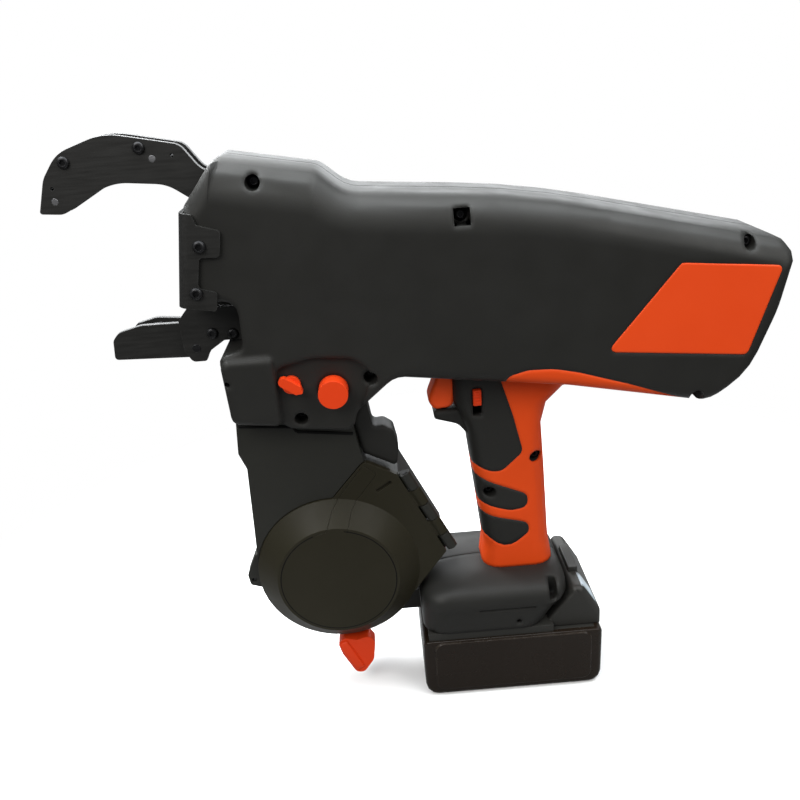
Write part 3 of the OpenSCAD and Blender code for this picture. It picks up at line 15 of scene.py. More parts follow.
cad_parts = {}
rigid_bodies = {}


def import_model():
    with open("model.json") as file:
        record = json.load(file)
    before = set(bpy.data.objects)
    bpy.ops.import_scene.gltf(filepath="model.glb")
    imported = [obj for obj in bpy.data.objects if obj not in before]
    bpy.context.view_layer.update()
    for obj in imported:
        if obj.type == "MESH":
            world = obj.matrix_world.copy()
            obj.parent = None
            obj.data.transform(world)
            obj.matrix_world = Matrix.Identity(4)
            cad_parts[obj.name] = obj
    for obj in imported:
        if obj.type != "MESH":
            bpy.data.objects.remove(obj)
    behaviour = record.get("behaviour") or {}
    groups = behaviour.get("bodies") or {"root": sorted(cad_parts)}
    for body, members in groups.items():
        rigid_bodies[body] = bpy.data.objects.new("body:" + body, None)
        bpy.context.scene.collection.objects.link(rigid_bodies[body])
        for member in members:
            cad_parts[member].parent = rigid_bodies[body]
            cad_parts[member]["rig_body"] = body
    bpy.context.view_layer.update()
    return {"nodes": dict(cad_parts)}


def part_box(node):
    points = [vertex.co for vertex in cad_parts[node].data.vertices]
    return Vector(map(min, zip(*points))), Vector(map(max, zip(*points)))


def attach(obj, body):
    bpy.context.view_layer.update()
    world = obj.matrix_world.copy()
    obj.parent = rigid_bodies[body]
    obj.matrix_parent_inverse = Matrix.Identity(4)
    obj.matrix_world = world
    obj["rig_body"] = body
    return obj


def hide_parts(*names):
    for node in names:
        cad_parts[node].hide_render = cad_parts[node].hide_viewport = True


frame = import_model()
nodes = frame["nodes"]
scene = bpy.context.scene
mm = 0.001

# %% [markdown]
# ## Camera
# The lens is a normal one, looking a little down at the left side. The three angles are turned into the
# camera's own axes, so that the roll comes last, as it does when a hand holds the camera slightly crooked.

# %% Place the camera
pitch, roll, yaw = (math.radians(a) for a in (23.12, -4.05, 1.14))
camera_at = (-0.0667, -0.4253, 0.3691)
forward = Vector((math.sin(yaw) * math.cos(pitch), math.cos(yaw) * math.cos(pitch), -math.sin(pitch)))
level = Vector((math.cos(yaw), -math.sin(yaw), 0))
upright = level.cross(forward)
right = math.cos(roll) * level + math.sin(roll) * upright
up = math.cos(roll) * upright - math.sin(roll) * level
turned = Matrix((right, up, -forward)).transposed().to_4x4()
camera = bpy.data.objects.new("camera", bpy.data.cameras.new("camera"))
camera.data.lens = 36
camera.data.sensor_width = 36
camera.matrix_world = Matrix.Translation(camera_at) @ turned
scene.collection.objects.link(camera)
scene.camera = camera
scene.view_settings.view_transform = "Standard"
print("camera at", camera_at, "with a lens of", camera.data.lens, "mm")

# %% [markdown]
# ## Light
# A product photograph of dark plastic needs large soft lamps: one overhead draws the bright band along the
# crown, one low behind the tool glances off it, a small one brightens the nose, and weaker ones fill the
# sides.

# %% Light the tool
def soft_lamp(name, place, aim, size, power, tint):
    """A rectangular lamp at a place, turned to what it aims at."""
    lamp = bpy.data.objects.new(name, bpy.data.lights.new(name, "AREA"))
    lamp.data.shape = "RECTANGLE"
    lamp.data.size, lamp.data.size_y = size
    lamp.data.energy = power
    lamp.data.color = tint
    lamp.location = place
    lamp.rotation_euler = (Vector(aim) - Vector(place)).to_track_quat("-Z", "Y").to_euler()
    scene.collection.objects.link(lamp)


warm, cool = (1.0, 0.98, 0.95), (0.97, 0.99, 1.0)
cooler, coolest = (0.95, 0.98, 1.0), (0.94, 0.98, 1.0)
low_middle, high_middle, jaws = (-0.03, 0, 0.2), (-0.03, 0, 0.3), (-0.13, 0, 0.33)
handle = (0, 0, 0.2)
soft_lamp("overhead", (-0.03, 0.06, 1.25), low_middle, size=(2.2, 0.9), power=38, tint=coolest)
soft_lamp("front_left", (-0.75, -0.95, 1.15), low_middle, size=(0.8, 0.8), power=13.5, tint=warm)
soft_lamp("front_right", (0.90, -0.90, 1.05), handle, size=(0.7, 0.8), power=9, tint=warm)
soft_lamp("nose", (-0.36, 0.28, 0.66), jaws, size=(0.25, 0.25), power=7, tint=cool)
soft_lamp("back_wall", (-0.05, 1.15, 0.60), high_middle, size=(1.8, 0.6), power=13, tint=cooler)

# %% [markdown]
# ## White surroundings
# The picture's ground is white, but a white room would wash the dark plastic out. So the world is white
# where the camera sees it and grey where it lights the tool. The floor uses the same switch.

# %% Surround the tool with white
def white_to_camera(tree, low, white):
    """A colour that is white to the camera, and low for the light that it sends to the tool."""
    path = tree.nodes.new("ShaderNodeLightPath")
    mix = tree.nodes.new("ShaderNodeMix")
    mix.data_type = "RGBA"
    tree.links.new(path.outputs["Is Camera Ray"], mix.inputs["Factor"])
    mix.inputs["A"].default_value = (*low, 1)
    mix.inputs["B"].default_value = (*white, 1)
    return mix.outputs["Result"]


pure_white, sky_grey = (1, 1, 1), (0.22, 0.23, 0.24)
world = bpy.data.worlds.new("studio")
scene.world = world
world.use_nodes = True
sky = world.node_tree
sky_colour = white_to_camera(sky, sky_grey, pure_white)
sky.links.new(sky_colour, sky.nodes["Background"].inputs["Color"])
print("world:", world.name)

# %% [markdown]
# ## Floor
# A sheet of white paper under the tool takes its shadow. Away from the tool the sheet fades into plain
# white, as a sweep of paper does behind a product, so that no edge shows where the floor ends.

# %% Lay the floor
floor_half, fade_from, fade_to = 4, 0.16, 0.46
paper_white, paper_grey, glow_grey = (0.88, 0.88, 0.88), (0.25, 0.25, 0.25), (0.12, 0.12, 0.12)
bm = bmesh.new()
bmesh.ops.create_grid(bm, x_segments=1, y_segments=1, size=floor_half)
floor_mesh = bpy.data.meshes.new("floor")
bm.to_mesh(floor_mesh)
bm.free()
floor = bpy.data.objects.new("floor", floor_mesh)
scene.collection.objects.link(floor)
floor_paint = bpy.data.materials.new("floor_paint")
floor_paint.use_nodes = True
sheet = floor_paint.node_tree
paper = sheet.nodes["Principled BSDF"]
paper_colour = white_to_camera(sheet, paper_grey, paper_white)
sheet.links.new(paper_colour, paper.inputs["Base Color"])
paper.inputs["Roughness"].default_value = 0.9
paper.inputs["Specular IOR Level"].default_value = 0.1
glow = sheet.nodes.new("ShaderNodeEmission")
sheet.links.new(white_to_camera(sheet, glow_grey, pure_white), glow.inputs["Color"])
away = sheet.nodes.new("ShaderNodeVectorMath")
away.operation = "LENGTH"
sheet.links.new(sheet.nodes.new("ShaderNodeTexCoord").outputs["Object"], away.inputs[0])
fade = sheet.nodes.new("ShaderNodeMapRange")
fade.interpolation_type = "SMOOTHSTEP"
sheet.links.new(away.outputs["Value"], fade.inputs["Value"])
fade.inputs["From Min"].default_value = fade_from
fade.inputs["From Max"].default_value = fade_to
blend = sheet.nodes.new("ShaderNodeMixShader")
sheet.links.new(fade.outputs["Result"], blend.inputs["Fac"])
sheet.links.new(paper.outputs["BSDF"], blend.inputs[1])
sheet.links.new(glow.outputs["Emission"], blend.inputs[2])
sheet.links.new(blend.outputs["Shader"], sheet.nodes["Material Output"].inputs["Surface"])
floor_mesh.materials.append(floor_paint)
print("floor fades between", fade_from, "and", fade_to, "m")

# %% [markdown]
# ## Shared effects
# Three effects repeat over the tool, so each is a node group that is built once: the grain of moulded
# plastic, the brushing of steel, and a pale line along edges, which is the rub of hands and, on the battery
# case, a painted highlight. These helpers add a group, its nodes, noise, and a value taken from one range to
# another.

# %% Prepare the group helpers
def new_group(name, inputs, outputs):
    group = bpy.data.node_groups.new(name, "ShaderNodeTree")
    for label, kind, value in inputs:
        socket = group.interface.new_socket(label, in_out="INPUT", socket_type=kind)
        socket.default_value = value
    for label, kind in outputs:
        group.interface.new_socket(label, in_out="OUTPUT", socket_type=kind)
    return group, group.nodes.new("NodeGroupInput"), group.nodes.new("NodeGroupOutput")


def add(group, kind, **values):
    node = group.nodes.new(kind)
    for key, value in values.items():
        setattr(node, key, value)
    return node


def noise(group, coords, scale, detail):
    """Noise over some coordinates; its scale is a number or another node's output."""
    node = add(group, "ShaderNodeTexNoise")
    group.links.new(coords, node.inputs["Vector"])
    if hasattr(scale, "is_output"):
        group.links.new(scale, node.inputs["Scale"])
    else:
        node.inputs["Scale"].default_value = scale
    node.inputs["Detail"].default_value = detail
    return node.outputs["Fac"]


def ranged(group, value, low, high, to_low=0.0, to_high=1.0):
    """A value taken from one range to another, and held at the ends."""
    node = add(group, "ShaderNodeMapRange")
    group.links.new(value, node.inputs["Value"])
    for label, bound in (("From Min", low), ("From Max", high), ("To Min", to_low), ("To Max", to_high)):
        node.inputs[label].default_value = bound
    return node.outputs["Result"]


number, vector = "NodeSocketFloat", "NodeSocketVector"
noise_low, noise_high = 0.3, 0.7

# %% [markdown]
# ## Grain
# A mould's walls are etched, and the plastic takes their fine texture. The group gives slow patches of tone,
# a wandering gloss, and a bump of fine noise on a normal that is rounded at the edges.

# %% Build the grain
gloss_scale = 60.0
grain, gin, gout = new_group(
    "moulded_grain",
    [("Scale", number, 1500.0), ("Depth", number, 0.10), ("Patch", number, 14.0),
     ("Round", number, 0.3 * mm)],
    [("Tone", number), ("Gloss", number), ("Normal", vector)],
)
place = add(grain, "ShaderNodeTexCoord").outputs["Object"]
fine = noise(grain, place, gin.outputs["Scale"], detail=3)
bump = add(grain, "ShaderNodeBump")
bump.inputs["Distance"].default_value = 0.2 * mm
grain.links.new(gin.outputs["Depth"], bump.inputs["Strength"])
grain.links.new(fine, bump.inputs["Height"])
rounded = add(grain, "ShaderNodeBevel", samples=6)
grain.links.new(gin.outputs["Round"], rounded.inputs["Radius"])
grain.links.new(rounded.outputs["Normal"], bump.inputs["Normal"])
patches = noise(grain, place, gin.outputs["Patch"], detail=4)
gloss = noise(grain, place, gloss_scale, detail=5)
grain.links.new(ranged(grain, patches, noise_low, noise_high), gout.inputs["Tone"])
grain.links.new(ranged(grain, gloss, noise_low, noise_high), gout.inputs["Gloss"])
grain.links.new(bump.outputs["Normal"], gout.inputs["Normal"])

# %% [markdown]
# ## Brushing
# Steel that is ground or drawn keeps streaks along the way that it was worked. Noise is stretched along one
# axis, and it drives both the tone and a shallow bump.

# %% Build the brushing
brushing, bin_, bout = new_group(
    "brushing",
    [("Stretch", vector, (40.0, 900.0, 900.0)), ("Depth", number, 0.06)],
    [("Streak", number), ("Normal", vector)],
)
scaled = add(brushing, "ShaderNodeVectorMath", operation="MULTIPLY")
brushing.links.new(add(brushing, "ShaderNodeTexCoord").outputs["Object"], scaled.inputs[0])
brushing.links.new(bin_.outputs["Stretch"], scaled.inputs[1])
streak = noise(brushing, scaled.outputs["Vector"], scale=1.0, detail=3)
bump = add(brushing, "ShaderNodeBump")
bump.inputs["Distance"].default_value = 0.1 * mm
brushing.links.new(bin_.outputs["Depth"], bump.inputs["Strength"])
brushing.links.new(streak, bump.inputs["Height"])
brushing.links.new(ranged(brushing, streak, noise_low, noise_high), bout.inputs["Streak"])
brushing.links.new(bump.outputs["Normal"], bout.inputs["Normal"])

# %% [markdown]
# ## Edge wear and painted highlight
# Hands and benches wear a finish along its outer edges, and the battery case uses the same pale edge line as
# a painted highlight. There the rounded normal turns away from the face's own one, so the group compares the
# two, and breaks the line up with noise.

# %% Build the edge wear and highlight
edge_from, edge_to = 0.99, 0.86
break_up_scale, break_up_low, break_up_high = 180.0, 0.35, 0.65
wear_and_highlight_group, rin, rout = new_group(
    "edge_wear_and_highlight",
    [("Width", number, 0.8 * mm), ("Amount", number, 0.5)],
    [("Mask", number)],
)
soft = add(wear_and_highlight_group, "ShaderNodeBevel", samples=4)
wear_and_highlight_group.links.new(rin.outputs["Width"], soft.inputs["Radius"])
turn = add(wear_and_highlight_group, "ShaderNodeVectorMath", operation="DOT_PRODUCT")
wear_and_highlight_group.links.new(soft.outputs["Normal"], turn.inputs[0])
wear_and_highlight_group.links.new(add(wear_and_highlight_group, "ShaderNodeNewGeometry").outputs["Normal"], turn.inputs[1])
edge = ranged(wear_and_highlight_group, turn.outputs["Value"], edge_from, edge_to)
spots = noise(wear_and_highlight_group, add(wear_and_highlight_group, "ShaderNodeTexCoord").outputs["Object"], break_up_scale, detail=4)
break_up = ranged(wear_and_highlight_group, spots, break_up_low, break_up_high)
wear_and_highlight = add(wear_and_highlight_group, "ShaderNodeMath", operation="MULTIPLY")
wear_and_highlight_group.links.new(edge, wear_and_highlight.inputs[0])
wear_and_highlight_group.links.new(break_up, wear_and_highlight.inputs[1])
scaled = add(wear_and_highlight_group, "ShaderNodeMath", operation="MULTIPLY")
wear_and_highlight_group.links.new(wear_and_highlight.outputs[0], scaled.inputs[0])
wear_and_highlight_group.links.new(rin.outputs["Amount"], scaled.inputs[1])
wear_and_highlight_group.links.new(scaled.outputs[0], rout.inputs["Mask"])
print("groups:", [g.name for g in bpy.data.node_groups])

# %% [markdown]
# ## Plastics and rubbers
# A finish is a Principled shader fed by those groups: two close tones mixed by the grain's slow patches, a
# roughness that wanders, a fine bump, and a paler tone on edges: wear on most finishes, a painted highlight
# on the battery case. The trigger's orange is a lighter copy, painted light for a part that the body shades.
# The large mouldings also get a wide rounding of the light, because their edges flow into each other on the
# real tool.

# %% Make the plastics and rubbers
def mixed(tree, factor, a, b):
    """Two colours mixed by a factor; each is a tuple or another node's output."""
    node = tree.nodes.new("ShaderNodeMix")
    node.data_type = "RGBA"
    tree.links.new(factor, node.inputs["Factor"])
    for label, colour in (("A", a), ("B", b)):
        if isinstance(colour, tuple):
            node.inputs[label].default_value = (*colour, 1)
        else:
            tree.links.new(colour, node.inputs[label])
    return node.outputs["Result"]


def placed(tree, group, **values):
    node = tree.nodes.new("ShaderNodeGroup")
    node.node_tree = group
    for label, value in values.items():
        node.inputs[label].default_value = value
    return node


def plastic(name, dark, light, rough, scale=1500.0, depth=0.10, wear_and_highlight=(0.16, 0.16, 0.16), amount=0.25,
            soft=0.3, specular=0.5):
    """A moulded finish: two tones, a roughness range, grain, a pale edge tone for wear and for painted
    highlight, and a rounding in millimetres.
    """
    finish = bpy.data.materials.new(name)
    finish.use_nodes = True
    tree = finish.node_tree
    shader = tree.nodes["Principled BSDF"]
    skin = placed(tree, grain, Scale=scale, Depth=depth, Round=soft * mm)
    edges = placed(tree, wear_and_highlight_group, Amount=amount)
    tone = mixed(tree, skin.outputs["Tone"], dark, light)
    tree.links.new(mixed(tree, edges.outputs["Mask"], tone, wear_and_highlight), shader.inputs["Base Color"])
    tree.links.new(ranged(tree, skin.outputs["Gloss"], 0, 1, *rough), shader.inputs["Roughness"])
    tree.links.new(skin.outputs["Normal"], shader.inputs["Normal"])
    shader.inputs["Specular IOR Level"].default_value = specular
    return finish


dull = 0.26
orange_worn = (0.80, 0.13, 0.04)
charcoal = plastic("charcoal_plastic", (0.0140, 0.0138, 0.0124), (0.0178, 0.0176, 0.0160), (0.44, 0.56),
                   depth=0.16, wear_and_highlight=(0.070, 0.070, 0.066), soft=4.0, specular=dull)
lid_black = plastic("lid_plastic", (0.0165, 0.0145, 0.0078), (0.0205, 0.0182, 0.0104), (0.44, 0.54),
                    depth=0.12, wear_and_highlight=(0.070, 0.066, 0.056), specular=0.16)
neck_black = plastic("neck_plastic", (0.0165, 0.0165, 0.0138), (0.0208, 0.0208, 0.0176), (0.42, 0.54),
                     depth=0.14, wear_and_highlight=(0.070, 0.070, 0.062), specular=dull)
battery_black = plastic("battery_plastic", (0.0220, 0.0215, 0.0192), (0.0270, 0.0264, 0.0238), (0.38, 0.50),
                        wear_and_highlight=(0.066, 0.062, 0.056), specular=dull)
# The case's edges take a high amount of the pale edge tone: a painted highlight along its raised panel's
# edges.
battery_gloss = plastic("battery_gloss", (0.0100, 0.0062, 0.0036), (0.0130, 0.0084, 0.0052), (0.22, 0.32),
                        depth=0.02, wear_and_highlight=(0.085, 0.070, 0.056), amount=0.7, specular=dull)
orange_skin = plastic("orange_skin", (0.70, 0.062, 0.0060), (0.76, 0.072, 0.0075), (0.50, 0.62),
                      scale=2200.0, wear_and_highlight=orange_worn, amount=0.2, soft=3.0, specular=0.18)
orange_hard = plastic("orange_hard", (0.76, 0.064, 0.0095), (0.81, 0.074, 0.0110), (0.40, 0.50),
                      scale=1800.0, depth=0.04, wear_and_highlight=orange_worn, amount=0.2, soft=1.5, specular=0.18)
# A lighter copy of the orange for the trigger alone: painted light that lifts the trigger where the body
# shades it.
orange_painted_light = plastic("orange_painted_light", (0.92, 0.086, 0.0120), (0.96, 0.096, 0.0140), (0.40, 0.50),
                        scale=1800.0, depth=0.04, wear_and_highlight=(0.96, 0.15, 0.05), amount=0.2, soft=1.5,
                        specular=0.22)
red_hard = plastic("red_hard", (0.70, 0.044, 0.0060), (0.76, 0.052, 0.0075), (0.36, 0.46),
                   scale=1800.0, depth=0.03, wear_and_highlight=(0.76, 0.11, 0.04), specular=0.22)
spool_black = plastic("spool_plastic", (0.016, 0.016, 0.016), (0.023, 0.023, 0.023), (0.34, 0.46),
                      depth=0.05)
# A near-black finish that paints shade: the shadow strip under the feeder and the groove's shade round the
# lid's disc.
painted_shade_black = plastic("painted_shade_finish", (0.0022, 0.0022, 0.0020), (0.0030, 0.0030, 0.0028), (0.60, 0.75),
                     depth=0.05, wear_and_highlight=(0.006, 0.006, 0.006), specular=0.10)
board_green = plastic("board_lacquer", (0.010, 0.090, 0.030), (0.016, 0.120, 0.042), (0.25, 0.35),
                      depth=0.05)
wrap_blue = plastic("cell_wrap", (0.060, 0.100, 0.200), (0.075, 0.120, 0.230), (0.30, 0.40), depth=0.02)
label_pale = plastic("label_film", (0.44, 0.53, 0.60), (0.52, 0.61, 0.67), (0.26, 0.36), depth=0.02)
print(len(bpy.data.materials), "finishes with the floor's")

# %% [markdown]
# ## Metals
# The jaws and the guard are blackened steel, the fasteners are darker or brighter steel, and the wire's
# guides and gears are brass. All are brushed: streaks run along the piece, and they vary both the tone and
# the shine.

# %% Make the metals
def metal(name, dark, light, rough, stretch, metallic, wear_and_highlight=(0.45, 0.45, 0.46), amount=0.35):
    """A brushed finish: two tones, a roughness range, the streaks' stretch, and edges paled by wear."""
    finish = bpy.data.materials.new(name)
    finish.use_nodes = True
    tree = finish.node_tree
    shader = tree.nodes["Principled BSDF"]
    polish = placed(tree, brushing, Stretch=stretch)
    edges = placed(tree, wear_and_highlight_group, Width=0.5 * mm, Amount=amount)
    tone = mixed(tree, polish.outputs["Streak"], dark, light)
    tree.links.new(mixed(tree, edges.outputs["Mask"], tone, wear_and_highlight), shader.inputs["Base Color"])
    tree.links.new(ranged(tree, polish.outputs["Streak"], 0, 1, *rough), shader.inputs["Roughness"])
    tree.links.new(polish.outputs["Normal"], shader.inputs["Normal"])
    shader.inputs["Metallic"].default_value = metallic
    return finish


along = (60.0, 1400.0, 700.0)
all_round = (300.0, 300.0, 300.0)
round_spool = (200.0, 60.0, 200.0)
black_steel = metal("black_oxide", (0.0115, 0.0112, 0.0102), (0.0155, 0.0152, 0.0140), (0.42, 0.54),
                    along, metallic=0.20, wear_and_highlight=(0.11, 0.11, 0.11), amount=0.40)
dark_steel = metal("dark_steel", (0.020, 0.020, 0.021), (0.038, 0.038, 0.040), (0.32, 0.44),
                   along, metallic=0.8, wear_and_highlight=(0.22, 0.22, 0.23))
dull_steel = metal("dull_steel", (0.20, 0.20, 0.205), (0.28, 0.28, 0.29), (0.34, 0.46), along, metallic=0.9)
bright_steel = metal("bright_steel", (0.48, 0.48, 0.50), (0.62, 0.62, 0.64), (0.22, 0.36),
                     along, metallic=1.0)
cast_grey = metal("cast_grey", (0.22, 0.22, 0.23), (0.30, 0.30, 0.31), (0.40, 0.55), all_round, metallic=0.9)
brass = metal("brass", (0.50, 0.33, 0.10), (0.58, 0.39, 0.14), (0.26, 0.38),
              along, metallic=1.0, wear_and_highlight=(0.75, 0.55, 0.25))
wire_zinc = metal("wire_zinc", (0.42, 0.42, 0.44), (0.60, 0.60, 0.62), (0.25, 0.40),
                  round_spool, metallic=1.0)
print(len(bpy.data.materials), "finishes with the metals")

# %% [markdown]
# ## Dressing the solids
# A solid's mesh is loose triangles. A copy gets its doubles merged and its flat triangles dissolved, so that
# a small bevel can run along the true edges, and weighted normals keep the large faces flat under smooth
# shading. Mouldings get wider bevels than sheet and turned metal, as their moulds need.

# %% Dress the solids
weld = 0.002 * mm
flat = math.radians(0.6)
past_smooth = 4


def dress(name, finish, bevel, smooth=38, segments=2):
    """A copy of a solid with its edges softened by a bevel in millimetres; angles are in degrees."""
    node = nodes[name]
    bm = bmesh.new()
    bm.from_mesh(node.data)
    bmesh.ops.remove_doubles(bm, verts=bm.verts, dist=weld)
    bmesh.ops.dissolve_limit(bm, angle_limit=flat, verts=bm.verts, edges=bm.edges, delimit={"NORMAL"})
    mesh = bpy.data.meshes.new(name + "_dressed")
    bm.to_mesh(mesh)
    bm.free()
    for face in mesh.polygons:
        face.use_smooth = True
    mesh.set_sharp_from_angle(angle=math.radians(smooth))
    piece = bpy.data.objects.new(name + "_dressed", mesh)
    scene.collection.objects.link(piece)
    mesh.materials.append(finish)
    edge = piece.modifiers.new("soft_edges", "BEVEL")
    edge.width = bevel * mm
    edge.segments = segments
    edge.limit_method = "ANGLE"
    edge.angle_limit = math.radians(smooth + past_smooth)
    edge.miter_outer = "MITER_ARC"
    edge.use_clamp_overlap = True
    even = piece.modifiers.new("even_normals", "WEIGHTED_NORMAL")
    even.keep_sharp = True
    even.weight = 80
    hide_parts(name)
    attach(piece, node["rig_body"])
    return piece


coats = [
    (charcoal, dict(bevel=0.35),
     ("left_shell", "right_shell", "magazine_bracket", "terminal_block", "trigger_switch")),
    (neck_black, dict(bevel=0.45), ("reel_case", "reel_spindle")),
    (lid_black, dict(bevel=0.45), ("reel_lid", "lid_disc")),
    (orange_skin, dict(bevel=0.35), ("left_grip", "right_grip")),
    (orange_hard, dict(bevel=0.3), ("rear_panel",)),
    # The trigger takes the lighter orange copy, painted light for its shaded place.
    (orange_painted_light, dict(bevel=2.0, smooth=30, segments=4), ("trigger",)),
    (red_hard, dict(bevel=0.5, segments=3),
     ("feed_release_lever", "feed_lock_button", "lid_lock_lever", "trigger_lock")),
    (black_steel, dict(bevel=0.25),
     ("front_plate", "upper_jaw_left_plate", "upper_jaw_right_plate", "jaw_bracket", "lower_jaw_left_plate",
      "lower_jaw_right_plate")),
    (dark_steel, dict(bevel=0.25), ("upper_jaw_guide", "lower_jaw_guide")),
    (battery_black, dict(bevel=0.4), ("battery_button", "battery_cover")),
    (battery_gloss, dict(bevel=0.5), ("battery_case",)),
    (spool_black, dict(bevel=0.3), ("wire_spool",)),
    (board_green, dict(bevel=0.1), ("control_board",)),
    (wrap_blue, dict(bevel=0.3), ("battery_cells",)),
    (bright_steel, dict(bevel=0.15),
     ("lower_jaw_spring", "twister_hooks", "twist_shaft", "twist_bearing", "wire_cutter", "trigger_spring",
      "button_spring")),
    (dull_steel, dict(bevel=0.15), ("upper_jaw_pins",)),
    (dark_steel, dict(bevel=0.15), ("lower_jaw_pin", "lid_hinge_pin", "lock_lever_pin")),
    (cast_grey, dict(bevel=0.4), ("twist_gearbox", "twist_motor", "feed_motor")),
    (brass, dict(bevel=0.1), ("feed_drive_gear", "feed_idler_gear", "lower_wire_guide", "upper_wire_guide")),
]
dressed = {}
for finish, edges, names in coats:
    for name in names:
        dressed[name] = dress(name, finish, **edges)
print(len(dressed), "solids dressed")

# %% [markdown]
# ## Trigger's lean
# A finger pulls low on the trigger, so its moulding leans: the lower end comes forward and the upper end
# draws back under the body. The dressed copy is sheared, most at its front and not at all where it enters
# the handle.

# %% Lean the trigger
trigger_low, trigger_high = (Vector(v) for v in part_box("trigger"))
finger_long = 12 * mm
lean_low, lean_high = -2.4 * mm, 6.0 * mm
for v in dressed["trigger"].data.vertices:
    near = max(0.0, 1 - (v.co.x - trigger_low.x) / finger_long)
    rise = (v.co.z - trigger_low.z) / (trigger_high.z - trigger_low.z)
    v.co.x += near * (lean_low + (lean_high - lean_low) * rise)
print("trigger is", round((trigger_high.z - trigger_low.z) / mm, 1), "mm tall")

# %% [markdown]
# ## Turned pieces
# What a lathe turns is a row of rings, so a turned piece is made as one: circles at their own heights,
# bridged one to the next, and closed at both ends or led back to the first. A finished mesh then becomes a
# piece.

# %% Prepare the turned pieces
def ring(bm, radius, height, place, sides=24, hexed=False):
    """A ring of edges round the local Z axis; a hexed one follows a hexagon with that inner radius."""
    verts = bmesh.ops.create_circle(bm, segments=sides, radius=radius)["verts"]
    for v in verts:
        if hexed:
            turn = math.atan2(v.co.y, v.co.x) % math.radians(60) - math.radians(30)
            v.co *= 1 / math.cos(turn)
        v.co = place @ Vector((v.co.x, v.co.y, height))
    inside = set(verts)
    return [e for e in bm.edges if e.verts[0] in inside and e.verts[1] in inside]


def stack(bm, rings, place, sides=24, tube=False):
    """A closed solid through (radius, height, hexed) rings; a tube's last ring is bridged to its first."""
    loops = [ring(bm, r, h, place, sides, hexed) for r, h, hexed in rings]
    for low, high in zip(loops, loops[1:]):
        bmesh.ops.bridge_loops(bm, edges=low + high)
    if tube:
        bmesh.ops.bridge_loops(bm, edges=loops[-1] + loops[0])
    else:
        bmesh.ops.holes_fill(bm, edges=loops[0] + loops[-1], sides=sides)


def into_scene(bm, name, finish, body, replaced=(), smooth=35):
    """Turns a finished mesh into a piece that rides on a body, smooth but for edges past an angle."""
    bmesh.ops.recalc_face_normals(bm, faces=bm.faces)
    mesh = bpy.data.meshes.new(name)
    bm.to_mesh(mesh)
    bm.free()
    for face in mesh.polygons:
        face.use_smooth = True
    mesh.set_sharp_from_angle(angle=math.radians(smooth))
    piece = bpy.data.objects.new(name, mesh)
    scene.collection.objects.link(piece)
    mesh.materials.append(finish)
    if replaced:
        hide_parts(*replaced)
    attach(piece, body)
    return piece

# %% [markdown]
# ## Socket screws
# The guard, the jaws and the clamshell are held by button head screws with a hexagon socket. Such a head is
# turned and then broached, so its rings run up the shank, out under the head, over its dome, and down into
# the hexagon. One function makes them all, each in the box of its own solid.

# %% Make the screws
def solids_of(name):
    """The box of each separate solid in a node, as its lowest and highest corner."""
    bm = bmesh.new()
    bm.from_mesh(nodes[name].data)
    bmesh.ops.remove_doubles(bm, verts=bm.verts, dist=weld)
    boxes, seen = [], set()
    for first in bm.verts:
        if first in seen:
            continue
        seen.add(first)
        joined = [first]
        for v in joined:
            fresh = [w for w in (e.other_vert(v) for e in v.link_edges) if w not in seen]
            seen.update(fresh)
            joined.extend(fresh)
        boxes.append([Vector([pick(v.co[k] for v in joined) for k in range(3)]) for pick in (min, max)])
    bm.free()
    return boxes


dome = ((0.97, 0.0), (1.0, 0.12), (0.97, 0.45), (0.86, 0.78), (0.70, 0.96), (0.58, 1.0))
hex_share, hex_taper = 0.46, 0.97
socket_rim, socket_floor = 0.97, 0.25


def socket_screw(bm, low, high, head_r, head, shank_r, short):
    """A screw along Y in a solid's box, with its head at the end farther from the middle plane."""
    way = 1 if abs(high.y) > abs(low.y) else -1
    outer, inner = (high.y, low.y) if way > 0 else (low.y, high.y)
    seat = way * outer - head
    middle = (low + high) / 2
    place = Matrix.Translation((middle.x, 0, middle.z)) @ Matrix.Rotation(math.radians(-90 * way), 4, "X")
    hex_r = head_r * hex_share
    rings = [(shank_r, way * inner + short, False), (shank_r, seat, False)]
    rings += [(head_r * r_share, seat + head * h_share, False) for r_share, h_share in dome]
    rings.append((hex_r, seat + head * socket_rim, True))
    rings.append((hex_r * hex_taper, seat + head * socket_floor, True))
    stack(bm, rings, place)


screw_sizes = {
    "upper_jaw_screws": dict(head_r=3.1 * mm, head=1.6 * mm, shank_r=1.55 * mm, short=0),
    "front_plate_screws": dict(head_r=3.3 * mm, head=2.1 * mm, shank_r=1.85 * mm, short=0),
    "bracket_screws": dict(head_r=3.1 * mm, head=1.6 * mm, shank_r=1.55 * mm, short=2.2 * mm),
    "shell_screws": dict(head_r=2.95 * mm, head=3.0 * mm, shank_r=1.55 * mm, short=0.1 * mm),
}
for name, sizes in screw_sizes.items():
    bm = bmesh.new()
    boxes = solids_of(name)
    for low, high in boxes:
        socket_screw(bm, low, high, **sizes)
    into_scene(bm, name + "_sockets", dark_steel, nodes[name]["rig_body"], (name,))
    print(name, len(boxes), "screws")

# %% [markdown]
# ## Tie wire
# The spool is wound with soft steel wire, about a millimetre thick. The turns that show are one helix, a
# circle swept round the spool's axis as it moves along it, laid on a sleeve that stands for the layers
# below.

